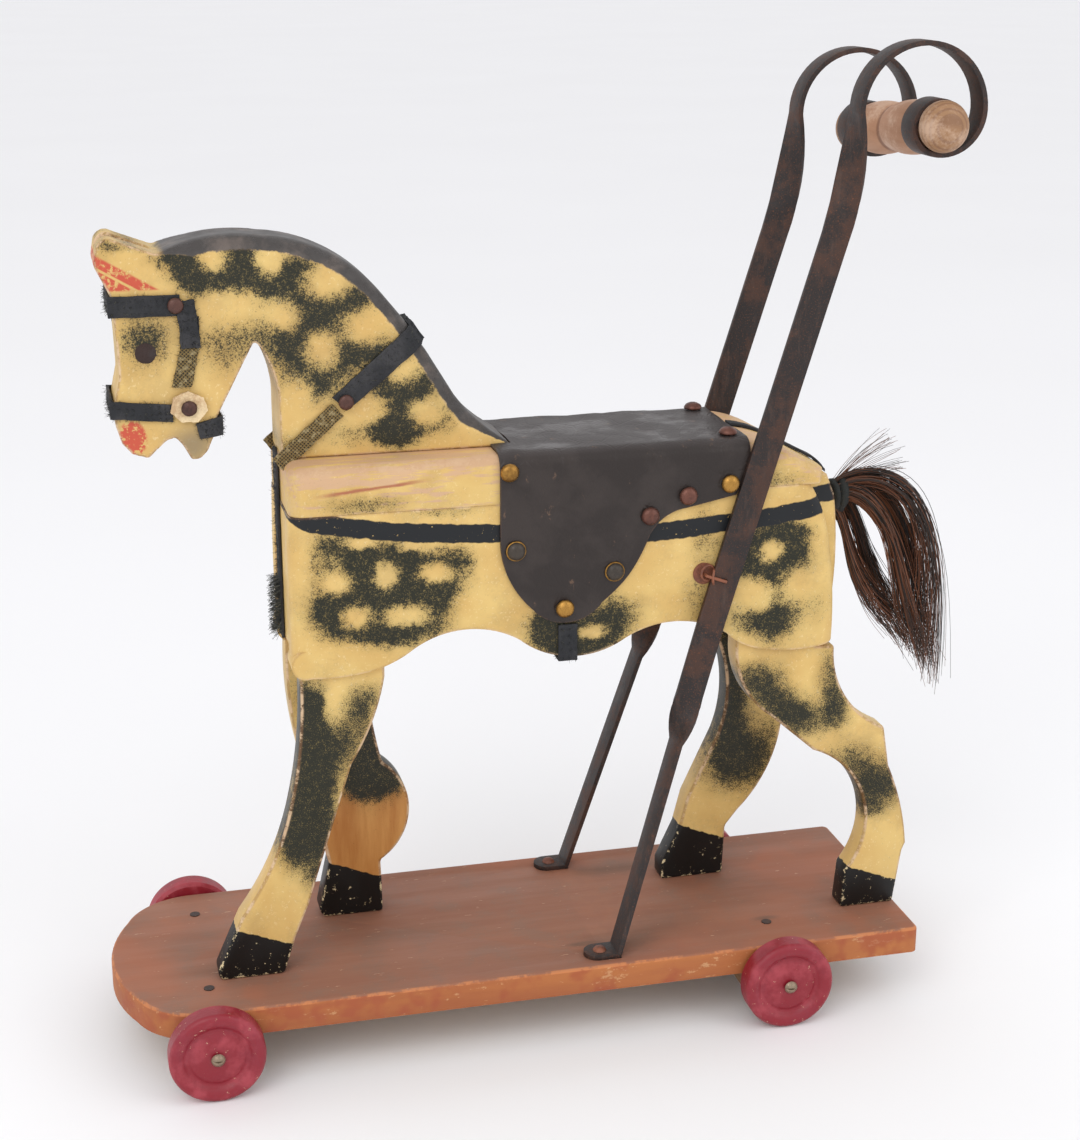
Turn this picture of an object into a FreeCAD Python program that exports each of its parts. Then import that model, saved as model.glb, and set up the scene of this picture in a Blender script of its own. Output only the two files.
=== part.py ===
"""A wooden push-along horse on a wheeled board with an iron push handle.

The horse faces -X, its left side is -Y, and +Z is up. The origin lies on the floor under the middle
of the whole toy. Lengths are millimetres. Every size is a cell of the sheet "Sizes".
"""
import FreeCAD, Part
import Sketcher

import math
import os

from FreeCAD import Placement, Rotation, Vector

DRIVING_SIZES = {
    # platform
    "board_length": 558.8,
    "board_width": 177.8,
    "board_thickness": 19.05,
    "board_edge_round": 2.5,
    "board_corner_round": 5.0,
    "nose_depth": 58.0,
    "axle_block_height": 22.0,
    "axle_block_length": 44.0,
    "axle_drop": 5.25,
    "block_nail_diameter": 7.0,
    "block_nail_height": 0.6,
    "front_axle": 61.5,
    "wheelbase": 394.8,
    "wheel_diameter": 63.5,
    "wheel_thickness": 16.8,
    "wheel_screw_diameter": 5.0,
    "wheel_screw_grip": 30.0,
    "wheel_head_diameter": 9.5,
    "wheel_head_height": 3.0,
    "running_clearance": 0.08,
    "side_clearance": 0.3,
    "screw_slot_width": 1.2,
    "washer_thickness": 0.9,
    "washer_diameter": 14.0,
    # horse
    "body_front": 126.5,
    "body_length": 374.0,
    "body_width": 101.6,
    "side_board_height": 117.0,
    "leg_height": 206.0,
    "leg_thickness": 19.05,
    "leg_inset": 3.75,
    "leg_housing_height": 60.0,
    "back_board_thickness": 32.0,
    "rump_bow": 14.0,
    "neck_length": 260.0,
    "neck_height": 143.0,
    "neck_thickness": 48.0,
    "corner_round": 10.0,
    "dowel_diameter": 10.0,
    "dowel_depth": 24.0,
    "eye_diameter": 13.0,
    "eye_height": 2.4,
    "tail_peg_diameter": 14.0,
    "tail_peg_depth": 14.0,
    "tail_peg_out": 8.0,
    "tail_reach": 104.0,
    "tail_drop": 165.0,
    # harness
    "leather": 2.0,
    "strap_gap": 0.2,
    "strap_width": 13.0,
    "saddle_drop": 115.0,
    "girth_width": 13.0,
    "crupper_width": 10.0,
    "chest_strap_drop": 126.0,
    "tuft_height": 38.0,
    "tuft_depth": 6.0,
    "nail_diameter": 12.7,
    "nail_height": 4.0,
    "small_nail_diameter": 10.0,
    "small_nail_height": 2.6,
    "rosette_diameter": 24.0,
    "rosette_thickness": 1.8,
    # handle
    "strip_width": 19.0,
    "strip_thickness": 3.3,
    "strut_foot": 339.5,
    "strut_foot_spread": 72.0,
    "strut_tab": 21.0,
    "strut_screw_diameter": 5.0,
    "strut_screw_depth": 14.0,
    "strut_twist": 32.0,
    "grip_across": 551.0,
    "grip_height_left": 611.0,
    "grip_height_right": 600.5,
    "loop_radius": 42.0,
    "grip_spread": 54.0,
    "grip_overhang": 26.0,
    "grip_diameter": 28.0,
    "grip_bead_diameter": 35.0,
    "grip_clearance": 1.2,
    "handle_stand_off": 2.6,
    "side_washer_diameter": 15.0,
    "side_washer_thickness": 0.8,
    "tie_wire_diameter": 2.2,
    "tie_hole_diameter": 3.2,
}

document = FreeCAD.newDocument("push_horse")
sheet = document.addObject("Spreadsheet::Sheet", "Sizes")
for row, (alias, size) in enumerate(DRIVING_SIZES.items(), start=1):
    sheet.set(f"A{row}", alias.replace("_", " "))
    sheet.set(f"B{row}", str(size))
    sheet.setAlias(f"B{row}", alias)
document.recompute()


class Size:
    """A length that keeps its formula on the sheet beside its present value."""

    def __init__(self, formula, value):
        self.formula = formula
        self.value = float(value)

    def __add__(self, other):
        other = as_size(other)
        return Size(f"({self.formula} + {other.formula})", self.value + other.value)

    def __sub__(self, other):
        other = as_size(other)
        return Size(f"({self.formula} - {other.formula})", self.value - other.value)

    def __mul__(self, factor):
        return Size(f"({self.formula} * {float(factor)})", self.value * factor)

    def __truediv__(self, factor):
        return Size(f"({self.formula} / {float(factor)})", self.value / factor)

    def __neg__(self):
        return self * -1


def as_size(number):
    """A plain number of millimetres as a Size."""
    return number if isinstance(number, Size) else Size(f"{float(number)}", number)


def cell(alias):
    """The sheet's cell with this alias."""
    return Size(f"Sizes.{alias}", sheet.get(alias))


def bind(thing, prop, size):
    """Set a property from a Size and tie it to the sheet."""
    thing.setExpression(prop, as_size(size).formula)


# Heights and places that several pieces share.
wheel_radius = cell("wheel_diameter") / 2
board_bottom = wheel_radius + cell("axle_drop")
board_top = board_bottom + cell("board_thickness")
belly = board_top + cell("leg_height")
seam = belly + cell("side_board_height") - 2
back_top = seam + cell("back_board_thickness")
body_half = cell("body_width") / 2
side_board = cell("leg_inset") + cell("leg_thickness")
core_half = body_half - side_board
neck_half = cell("neck_thickness") / 2
board_half = cell("board_width") / 2
tail_root = cell("body_front") + cell("body_length") + 7
middle = (tail_root + cell("tail_reach")) / 2
front_axle = cell("front_axle") - middle
rear_axle = front_axle + cell("wheelbase")
body_front = cell("body_front") - middle
strap_gap = cell("strap_gap")
strut_side = body_half + cell("handle_stand_off") + cell("strip_thickness") / 2
nodes = []


class Pattern:
    """A paper pattern on a plain grid, stretched to sizes from the sheet."""

    def __init__(self, left, bottom, width, height, grid):
        self.left, self.bottom = as_size(left), as_size(bottom)
        self.across_scale = as_size(width) / grid[0]
        self.up_scale = as_size(height) / grid[1]

    def at(self, across, up):
        return (self.left + self.across_scale * across, self.bottom + self.up_scale * up)

    def trace(self, *steps):
        """Turn grid points into Sizes: a pair is a corner, four numbers are an arc's middle and end."""
        return [
            self.at(*step) if len(step) == 2 else self.at(*step[:2]) + self.at(*step[2:])
            for step in steps
        ]


# The horse's patterns: grid units are millimetres from the body's front and from the datum below.
body_grid = Pattern(body_front, belly, cell("body_length"), cell("side_board_height"), (374, 117))
leg_grid = Pattern(body_front, board_top, cell("body_length"), cell("leg_height"), (374, 206))
neck_grid = Pattern(body_front, back_top, cell("neck_length"), cell("neck_height"), (260, 143))


def flat_vector(corner):
    return Vector(corner[0].value, corner[1].value, 0)


def pin_point(sketch, geometry, position, corner):
    """Hold a sketch point at a corner by two constraints tied to the sheet."""
    for kind, size in zip(("DistanceX", "DistanceY"), corner):
        index = sketch.addConstraint(Sketcher.Constraint(kind, geometry, position, size.value))
        sketch.setExpression(f"Constraints[{index}]", size.formula)


def draw_outline(sketch, steps):
    """Draw a closed outline of lines and arcs through the given Sizes."""
    ends = []
    corner = steps[0]
    for step in steps[1:] + [steps[0]]:
        start, end = flat_vector(corner), flat_vector(step[-2:])
        if len(step) == 4:
            through = flat_vector(step[:2])
            curve = Part.ArcOfCircle(start, through, end)
            clockwise = (through - start).cross(end - through).z < 0
            index = sketch.addGeometry(curve, False)
            on_curve = sketch.addGeometry(Part.Point(through), True)
            pin_point(sketch, on_curve, 1, step[:2])
            sketch.addConstraint(Sketcher.Constraint("PointOnObject", on_curve, 1, index))
            ends.append((index, 2 if clockwise else 1, 1 if clockwise else 2))
        else:
            index = sketch.addGeometry(Part.LineSegment(start, end), False)
            ends.append((index, 1, 2))
        pin_point(sketch, index, ends[-1][1], corner)
        corner = step[-2:]
    for (index, _, finish), (after, begin, _) in zip(ends, ends[1:] + ends[:1]):
        sketch.addConstraint(Sketcher.Constraint("Coincident", index, finish, after, begin))


def draw_circle(sketch, centre, diameter):
    """Draw a circle whose centre and diameter are tied to the sheet."""
    curve = Part.Circle(flat_vector(centre), Vector(0, 0, 1), diameter.value / 2)
    index = sketch.addGeometry(curve, False)
    pin_point(sketch, index, 3, centre)
    number = sketch.addConstraint(Sketcher.Constraint("Diameter", index, diameter.value))
    sketch.setExpression(f"Constraints[{number}]", diameter.formula)


def new_body(name):
    """A PartDesign body that is a node of the toy."""
    body = document.addObject("PartDesign::Body", name)
    body.Label = name
    nodes.append(body)
    return body


def new_sketch(body, name, plane, offset=0):
    """A sketch on one of the body's own origin planes, moved along its normal by a Size."""
    sketch = body.newObject("Sketcher::SketchObject", name)
    flat = [f for f in body.Origin.OriginFeatures if f.Role == plane]
    sketch.AttachmentSupport = [(flat[0], "")]
    sketch.MapMode = "FlatFace"
    if isinstance(offset, Size):
        bind(sketch, "AttachmentOffset.Base.z", offset)
    return sketch


def pad(body, sketch, length, midplane=False, reverse=False):
    """Raise a sketch to a solid."""
    feature = body.newObject("PartDesign::Pad", sketch.Name + "_pad")
    feature.Profile = sketch
    bind(feature, "Length", length)
    feature.Midplane = midplane
    feature.Reversed = reverse
    sketch.Visibility = False
    document.recompute()
    return feature


def cut_away(body, sketch, length=None, midplane=False, reverse=False):
    """Cut a sketch out of the body, all the way through unless a depth is given."""
    before = body.Shape.Volume
    feature = body.newObject("PartDesign::Pocket", sketch.Name + "_pocket")
    feature.Profile = sketch
    if length is None:
        feature.Type = "ThroughAll"
    else:
        bind(feature, "Length", length)
    feature.Midplane = midplane
    feature.Reversed = reverse
    document.recompute()
    if not body.Shape.Volume < before - 1e-3:
        raise RuntimeError(f"{sketch.Name} cuts nothing out of {body.Label}")
    return feature


def round_edges(body, radius, wanted):
    """Fillet the body's edges that the test picks."""
    base = body.Tip
    names = [f"Edge{i}" for i, edge in enumerate(base.Shape.Edges, start=1) if wanted(edge)]
    feature = body.newObject("PartDesign::Fillet", f"{base.Name}_round{len(body.Group)}")
    feature.Base = (base, names)
    bind(feature, "Radius", radius)
    document.recompute()
    return feature


def edge_ends(edge):
    return [vertex.Point for vertex in edge.Vertexes]


def lies_at(edge, axis, place):
    """Whether a whole edge lies in the plane where one coordinate has the given value."""
    points = edge_ends(edge) + [edge.valueAt((edge.FirstParameter + edge.LastParameter) / 2)]
    return all(abs(point[axis] - place) < 1e-3 for point in points)


def plank(name, outline, thickness, inner, side):
    """A plank cut to an outline in the XZ plane. inner is its face nearest the middle of the toy.

    side is -1 on the left and 1 on the right.
    """
    body = new_body(name)
    sketch = new_sketch(body, name + "_outline", "XZ_Plane")
    draw_outline(sketch, outline)
    pad(body, sketch, thickness, reverse=side > 0)
    bind(body, "Placement.Base.y", as_size(inner) * side)
    return body


def slab(name, outline, thickness):
    """A plank cut to an outline in the XZ plane and centred on the middle of the toy."""
    body = new_body(name)
    sketch = new_sketch(body, name + "_outline", "XZ_Plane")
    draw_outline(sketch, outline)
    pad(body, sketch, thickness, midplane=True)
    return body


def box(name, low, high):
    """A plain block between two corners."""
    block = document.addObject("Part::Box", name)
    block.Label = name
    for axis, side in enumerate(("Length", "Width", "Height")):
        bind(block, side, as_size(high[axis]) - low[axis])
        bind(block, "Placement.Base." + "xyz"[axis], low[axis])
    return block


def rod(name, centre, axis, diameter, length):
    """A cylinder that starts at a centre and runs along +X, -X, +Y, -Y, +Z or -Z."""
    turns = {
        "+X": Rotation(Vector(0, 1, 0), 90),
        "-X": Rotation(Vector(0, 1, 0), -90),
        "+Y": Rotation(Vector(1, 0, 0), -90),
        "-Y": Rotation(Vector(1, 0, 0), 90),
        "+Z": Rotation(),
        "-Z": Rotation(Vector(1, 0, 0), 180),
    }
    cylinder = document.addObject("Part::Cylinder", name)
    cylinder.Placement = Placement(Vector(), turns[axis])
    bind(cylinder, "Radius", as_size(diameter) / 2)
    bind(cylinder, "Height", length)
    for letter, place in zip("xyz", centre):
        bind(cylinder, "Placement.Base." + letter, place)
    return cylinder


def combine(kind, name, *pieces):
    """Join, cut or group pieces into one named node."""
    made = document.addObject(kind, name)
    made.Label = name
    if kind == "Part::Cut":
        made.Base, made.Tool = pieces
    elif kind == "Part::Compound":
        made.Links = list(pieces)
    else:
        made.Shapes = list(pieces)
    nodes.append(made)
    return made


def plain_feature(name, shape):
    """A node whose shape is made directly, for strips and hair that no feature fits."""
    made = document.addObject("Part::Feature", name)
    made.Label = name
    made.Shape = shape
    nodes.append(made)
    return made


# ---------------------------------------------------------------- platform


def make_board():
    tail = cell("board_length") - middle
    nose = cell("nose_depth")
    body = new_body("base_board")
    sketch = new_sketch(body, "board_outline", "XY_Plane")
    tip = Pattern(-middle, 0, nose, board_half, (58, 88.9))
    outline = tip.trace((58, -88.9), (31, -79, 13.5, -55), (0, 0, 13.5, 55), (31, 79, 58, 88.9))
    outline += [(tail, board_half), (tail, -board_half)]
    draw_outline(sketch, outline)
    pad(body, sketch, cell("board_thickness"))
    bind(body, "Placement.Base.z", board_bottom)

    def at_rear_corner(edge):
        first, last = edge_ends(edge)
        return lies_at(edge, 0, tail.value) and lies_at(edge, 1, first.y) and abs(last.z - first.z) > 1

    round_edges(body, cell("board_corner_round"), at_rear_corner)
    round_edges(body, cell("board_edge_round"), lambda e: lies_at(e, 2, cell("board_thickness").value))
    holes = new_sketch(body, "foot_screw_holes", "XY_Plane", cell("board_thickness"))
    across = cell("strut_foot") - middle - cell("strut_tab") * 0.55
    for side in (-1, 1):
        draw_circle(holes, (across, cell("strut_foot_spread") * side), cell("strut_screw_diameter"))
    cut_away(body, holes, cell("strut_screw_depth"))


def make_axle_block(name, axle):
    """A batten under the board that the two wheel screws of one axle go into."""
    half = cell("axle_block_length") / 2
    low = board_bottom - cell("axle_block_height")
    block = box(
        name + "_batten", (axle - half, -board_half, low), (axle + half, board_half, board_bottom)
    )
    holes = [
        rod(
            f"{name}_hole_{label}",
            (axle, board_half * side, wheel_radius),
            "-Y" if side > 0 else "+Y",
            cell("wheel_screw_diameter"),
            cell("wheel_screw_grip"),
        )
        for label, side in (("left", -1), ("right", 1))
    ]
    drilled = document.addObject("Part::MultiFuse", name + "_holes")
    drilled.Shapes = holes
    combine("Part::Cut", name, block, drilled)


def make_block_nails():
    """Nails through the board into each axle block, their flat heads just proud of the board."""
    heads = [
        rod(f"block_nail_{end}_{label}", (axle, board_half * share, board_top), "+Z",
            cell("block_nail_diameter"), cell("block_nail_height"))
        for end, axle in (("front", front_axle), ("rear", rear_axle))
        for label, share in (("left", -0.62), ("right", 0.62))
    ]
    combine("Part::Compound", "block_nails", *heads)


def make_wheel(name, axle, side):
    """A turned wheel: round rim, a groove inside it and a slightly domed hub, bored for its screw."""
    inner = board_half + cell("washer_thickness") + cell("side_clearance")
    thick = cell("wheel_thickness")
    bore = cell("wheel_screw_diameter") / 2 + cell("running_clearance")
    grid = Pattern(0, 0, wheel_radius, thick, (31.75, 16.8))
    body = new_body(name)
    sketch = new_sketch(body, name + "_section", "YZ_Plane")
    profile = (
        (29.5, 0), (31.75, 2.4), (31.75, 13), (30.6, 15.9, 27.2, 16.8),
        (24.0, 16.0, 21.6, 14.0), (19.8, 13.3, 18.0, 13.9), (10.5, 15.2, 5.5, 15.4),
    )
    traced = [(bore, as_size(0)), *grid.trace(*profile), (bore, grid.at(0, 15.4)[1])]
    mirrored = [step_across_axle(step, side) for step in traced]
    draw_outline(sketch, mirrored)
    turned = body.newObject("PartDesign::Revolution", name + "_turning")
    turned.Profile = sketch
    turned.ReferenceAxis = (sketch, ["H_Axis"])
    turned.Angle = 360
    document.recompute()
    bind(body, "Placement.Base.x", axle)
    bind(body, "Placement.Base.y", inner * side)
    bind(body, "Placement.Base.z", wheel_radius)


def step_across_axle(step, side):
    """A wheel section's step, from (radius, width) to the sketch's (Y, Z) on one side."""
    pairs = [(step[i + 1] * side, step[i]) for i in range(0, len(step), 2)]
    return tuple(place for pair in pairs for place in pair)


def make_wheel_fasteners():
    """A round-head screw and a washer for each wheel."""
    screws, washers = [], []
    grip = cell("wheel_screw_grip")
    face = board_half + cell("washer_thickness") + cell("wheel_thickness") + cell("side_clearance") * 2
    head = cell("wheel_head_diameter")
    dome_rise = cell("wheel_head_height")
    slot_half = cell("screw_slot_width") / 2
    dome_radius = (head.value**2 / 4 + dome_rise.value**2) / (2 * dome_rise.value)
    for end, axle in (("front", front_axle), ("rear", rear_axle)):
        for label, side in (("left", -1), ("right", 1)):
            way = "+Y" if side > 0 else "-Y"
            spot = f"{end}_{label}"
            start = (axle, (board_half - grip) * side, wheel_radius)
            length = face - board_half + grip
            shank = rod("screw_shank_" + spot, start, way, cell("wheel_screw_diameter"), length)
            dome = document.addObject("Part::Sphere", "screw_head_" + spot)
            dome.Placement = Placement(Vector(), Rotation(Vector(1, 0, 0), -90 * side))
            dome.Radius = dome_radius
            dome.Angle1 = math.degrees(math.asin(1 - dome_rise.value / dome_radius))
            bind(dome, "Placement.Base.x", axle)
            bind(dome, "Placement.Base.y", (face + dome_rise - dome_radius) * side)
            bind(dome, "Placement.Base.z", wheel_radius)
            near = face * side + dome_rise * (0.5 if side > 0 else -1.5)
            slot = box(
                "screw_slot_" + spot,
                (axle - head, near, wheel_radius - slot_half),
                (axle + head, near + dome_rise, wheel_radius + slot_half),
            )
            whole = document.addObject("Part::MultiFuse", "screw_blank_" + spot)
            whole.Shapes = [shank, dome]
            screw = document.addObject("Part::Cut", "screw_" + spot)
            screw.Base, screw.Tool = whole, slot
            screws.append(screw)
            centre = (axle, board_half * side, wheel_radius)
            thin = cell("washer_thickness")
            disc = rod("washer_disc_" + spot, centre, way, cell("washer_diameter"), thin)
            hole = rod("washer_hole_" + spot, centre, way, cell("wheel_screw_diameter"), thin)
            washer = document.addObject("Part::Cut", "washer_" + spot)
            washer.Base, washer.Tool = disc, hole
            washers.append(washer)
    combine("Part::Compound", "wheel_screws", *screws)
    combine("Part::Compound", "wheel_washers", *washers)


def nail_head(name, place, way, diameter, height):
    """A domed nail head on a face. way is the face's outward normal as a Vector."""
    radius = (diameter.value**2 / 4 + height.value**2) / (2 * height.value)
    dome = document.addObject("Part::Sphere", name)
    dome.Placement = Placement(Vector(), Rotation(Vector(0, 0, 1), way))
    dome.Radius = radius
    dome.Angle1 = math.degrees(math.asin(1 - height.value / radius))
    sunk = radius - height.value
    for letter, size, part in zip("xyz", place, way):
        bind(dome, "Placement.Base." + letter, as_size(size) - sunk * part)
    return dome


# ---------------------------------------------------------------- horse

FRONT_TONGUE = (4.5, 60.5)
REAR_TONGUE = (303.5, 362)


def leg_tongue_top():
    return 206 + cell("leg_housing_height").value * 206 / cell("leg_height").value


def make_side_board(name, side):
    """A shaped side board: rounded outer edges and two housings for the legs on its inner face."""
    outline = body_grid.trace(
        (1, 115), (0, 60, 0.5, 20), (2, 8.5, 12, 6.2), (24, 5.6, 44, 7), (62, 11.5, 80, 21.5),
        (115, 31.8, 150.5, 21.5), (187, 6.8, 220, 14.5), (257, 25.5, 295, 14),
        (309, 4, 323, 0.2), (349, -2.2, 374.3, 1.5), (373.5, 42, 368, 81.5), (363.5, 96, 353.5, 115),
    )
    board = plank(name, outline, side_board, core_half, side)
    outer = side_board.value * side
    front = body_front.value + 2
    rear = body_grid.at(350, 0)[0].value

    def upright_end(edge):
        points = edge_ends(edge)
        return lies_at(edge, 1, outer) and (
            all(p.x < front + 1.5 for p in points) or all(p.x > rear for p in points)
        ) and abs(points[0].z - points[-1].z) > 15

    round_edges(board, cell("corner_round"), upright_end)
    for label, (start, end) in (("front", FRONT_TONGUE), ("rear", REAR_TONGUE)):
        sketch = new_sketch(board, f"{name}_{label}_housing", "XZ_Plane")
        left, right = body_grid.at(start, 0)[0], body_grid.at(end, 0)[0]
        low, high = belly - 20, belly + cell("leg_housing_height")
        draw_outline(sketch, [(left, low), (right, low), (right, high), (left, high)])
        cut_away(board, sketch, cell("leg_thickness"), reverse=side < 0)
    return board


def make_leg(name, side, steps):
    """A leg plank whose square tongue stands in the side board's housing."""
    outline = leg_grid.trace(*steps)
    return plank(name, outline, cell("leg_thickness"), core_half, side)


def make_legs():
    top = leg_tongue_top()
    front_left = (
        (4.5, 208), (2.5, 165, -5, 122), (-16, 88, -41, 44), (-58, 6), (-56, 0),
        (-13, 0), (-4.5, 26), (5, 49), (21, 98, 37, 148), (54, 183, 60.5, 208),
        (60.5, top), (4.5, top),
    )
    front_right = (
        (4.5, 208), (6, 160, 18, 104), (29.5, 42), (21.5, 6), (24.5, 0),
        (67.5, 0), (67, 28), (66.5, 40), (88, 74, 69.5, 116), (62, 158, 60.5, 208),
        (60.5, top), (4.5, top),
    )
    rear_left = (
        (303.5, 208), (310, 178, 331, 154), (364, 125), (398, 96, 392, 30), (389.5, 0),
        (430, 0), (435.5, 40), (438, 46), (433.5, 73, 421.5, 108), (416.5, 138),
        (385.5, 165, 376, 202.8), (362, 203.2), (362, top), (303.5, top),
    )
    rear_right = (
        (303.5, 208), (322, 168, 318, 112), (296, 64), (290, 40), (277, 12), (277, 0),
        (325, 0), (326.5, 38), (336, 50), (352, 70, 368, 116), (379, 138), (377, 175, 376, 202.8),
        (362, 203.2), (362, top), (303.5, top),
    )
    make_leg("front_leg_left", -1, front_left)
    make_leg("front_leg_right", 1, front_right)
    make_leg("rear_leg_left", -1, rear_left)
    make_leg("rear_leg_right", 1, rear_right)


def make_core():
    """The hidden block between the side boards."""
    outline = body_grid.trace(
        (1, 115), (1, 22), (12, 9), (44, 9), (62, 14, 80, 24), (115, 35, 150.5, 24),
        (187, 9.5, 220, 17), (257, 28.5, 295, 17), (309, 7, 323, 3), (376, 3), (381, 60, 378, 100),
        (372, 115),
    )
    core = slab("body_core", outline, core_half * 2)
    hole = new_sketch(core, "tail_peg_hole", "YZ_Plane", tail_root - middle - cell("tail_peg_depth"))
    draw_circle(hole, (as_size(0), body_grid.at(0, 91)[1]), cell("tail_peg_diameter"))
    cut_away(core, hole, 60, reverse=True)
    return core


def make_back_board():
    """The thick board on top, sloped down over the rump and bowed at its rear end."""
    grid = Pattern(body_front, seam, cell("body_length"), cell("back_board_thickness"), (374, 32))
    rear = grid.at(372, 0)[0]
    board = slab(
        "back_board",
        grid.trace((1.5, 0), (1.5, 32), (300, 32), (320, 29.34, 336, 23), (372, 3), (372, 0)),
        cell("body_width"),
    )
    sketch = new_sketch(board, "rump_trim", "XY_Plane")
    bow = cell("rump_bow")
    far = rear + 30
    draw_outline(
        sketch,
        [(rear - bow, -body_half), (rear, as_size(0), rear - bow, body_half),
         (rear - bow, body_half + 20), (far, body_half + 20), (far, -body_half - 20),
         (rear - bow, -body_half - 20)],
    )
    cut_away(board, sketch, midplane=True)
    front = grid.at(1.5, 0)[0].value
    round_edges(
        board, cell("corner_round"),
        lambda e: lies_at(e, 0, front) and abs(edge_ends(e)[0].z - edge_ends(e)[-1].z) > 20,
    )
    half = body_half.value

    def top_edge(edge):
        points = edge_ends(edge)
        return all(abs(abs(p.y) - half) < 0.01 for p in points) and all(
            p.z > seam.value + 6 for p in points
        ) and abs(points[0].x - points[-1].x) > 100

    round_edges(board, cell("corner_round") * 0.8, top_edge)
    bore_dowel_holes(board, back_top - cell("dowel_depth"))
    return board


def dowel_places():
    """The two dowels under the neck, one near each end."""
    return [neck_grid.at(35, 0)[0], neck_grid.at(88, 0)[0]]


def bore_dowel_holes(board, low):
    sketch = new_sketch(board, board.Name + "_dowel_holes", "XY_Plane", low)
    for across in dowel_places():
        draw_circle(sketch, (across, as_size(0)), cell("dowel_diameter"))
    cut_away(board, sketch, cell("dowel_depth"), reverse=True)


def make_neck_and_head():
    """Neck and head in one plank, with a notch between the ears."""
    steps = (
        (1, 0), (1, 30), (-2, 56, -13, 78), (-38, 31), (-41, 18), (-45, 9), (-50, 4), (-55.5, 3.5),
        (-60.5, 13), (-65, 18.5), (-71, 16.5), (-77, 11), (-82, 6), (-92, 9), (-98, 16), (-101.5, 28),
        (-101.8, 40), (-97.5, 58), (-98, 82), (-99.5, 108), (-104, 118), (-108.8, 128), (-107, 138),
        (-103, 143.5, -95, 143), (-71, 134), (-44, 142, -5, 142), (35, 131, 68.5, 104), (83, 86),
        (98, 64), (116, 34), (131, 17, 150, 3), (150, 0),
    )
    head = slab("neck_and_head", neck_grid.trace(*steps), cell("neck_thickness"))
    sketch = new_sketch(head, "ear_notch", "YZ_Plane", neck_grid.at(-74, 0)[0])
    notch_top = neck_grid.at(0, 160)[1]
    draw_outline(sketch, [(-neck_half * 0.55, notch_top), (neck_half * 0.55, notch_top),
                          (as_size(0), neck_grid.at(0, 122)[1])])
    cut_away(head, sketch, cell("neck_length") / 4, reverse=False)
    bore = new_sketch(head, "neck_dowel_holes", "XY_Plane", back_top)
    for across in dowel_places():
        draw_circle(bore, (across, as_size(0)), cell("dowel_diameter"))
    cut_away(head, bore, cell("dowel_depth"), reverse=True)
    return head


def make_dowels():
    rods = [
        rod(f"dowel_{i}", (across, 0, back_top - cell("dowel_depth")), "+Z",
            cell("dowel_diameter"), cell("dowel_depth") * 2)
        for i, across in enumerate(dowel_places())
    ]
    combine("Part::Compound", "neck_dowels", *rods)


def make_eyes():
    """A dark round stud on each side of the head."""
    across, up = neck_grid.at(-80.5, 73)
    heads = [
        nail_head(f"eye_{label}", (across, neck_half * side, up), Vector(0, side, 0),
                  cell("eye_diameter"), cell("eye_height"))
        for label, side in (("left", -1), ("right", 1))
    ]
    combine("Part::Compound", "eyes", *heads)


def make_tail():
    """A peg glued into the core, and the outer shape of the hair that hangs from it."""
    height = body_grid.at(0, 91)[1]
    root = tail_root - middle
    start = (root - cell("tail_peg_depth"), 0, height)
    length = cell("tail_peg_depth") + cell("tail_peg_out")
    peg = rod("tail_peg_rod", start, "+X", cell("tail_peg_diameter"), length)
    combine("Part::Compound", "tail_peg", peg)
    hang = height.value
    reach, drop = cell("tail_reach").value, cell("tail_drop").value
    start = root.value + cell("tail_peg_out").value + 0.2
    end = root.value + reach
    sections = (
        (start, hang, 90, 7.5), (start + 0.18 * reach, hang + 4, 85, 9),
        (start + 0.45 * reach, hang - 4, 55, 13), (end - 27, hang - 0.25 * drop, 25, 18),
        (end - 20, hang - 0.5 * drop, 0, 20), (end - 20, hang - 0.75 * drop, 0, 17),
        (end - 17, hang - drop, 0, 5),
    )
    rings = []
    for across, up, lean, radius in sections:
        way = Vector(math.sin(math.radians(lean)), 0, -math.cos(math.radians(lean)))
        rings.append(Part.Wire(Part.makeCircle(radius, Vector(across, 0, up), way)))
    plain_feature("tail_hair", Part.makeLoft(rings, True, True))


# ---------------------------------------------------------------- harness


SADDLE_START = 137.5
saddle_length = cell("body_length") * (170 / 374)


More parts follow.
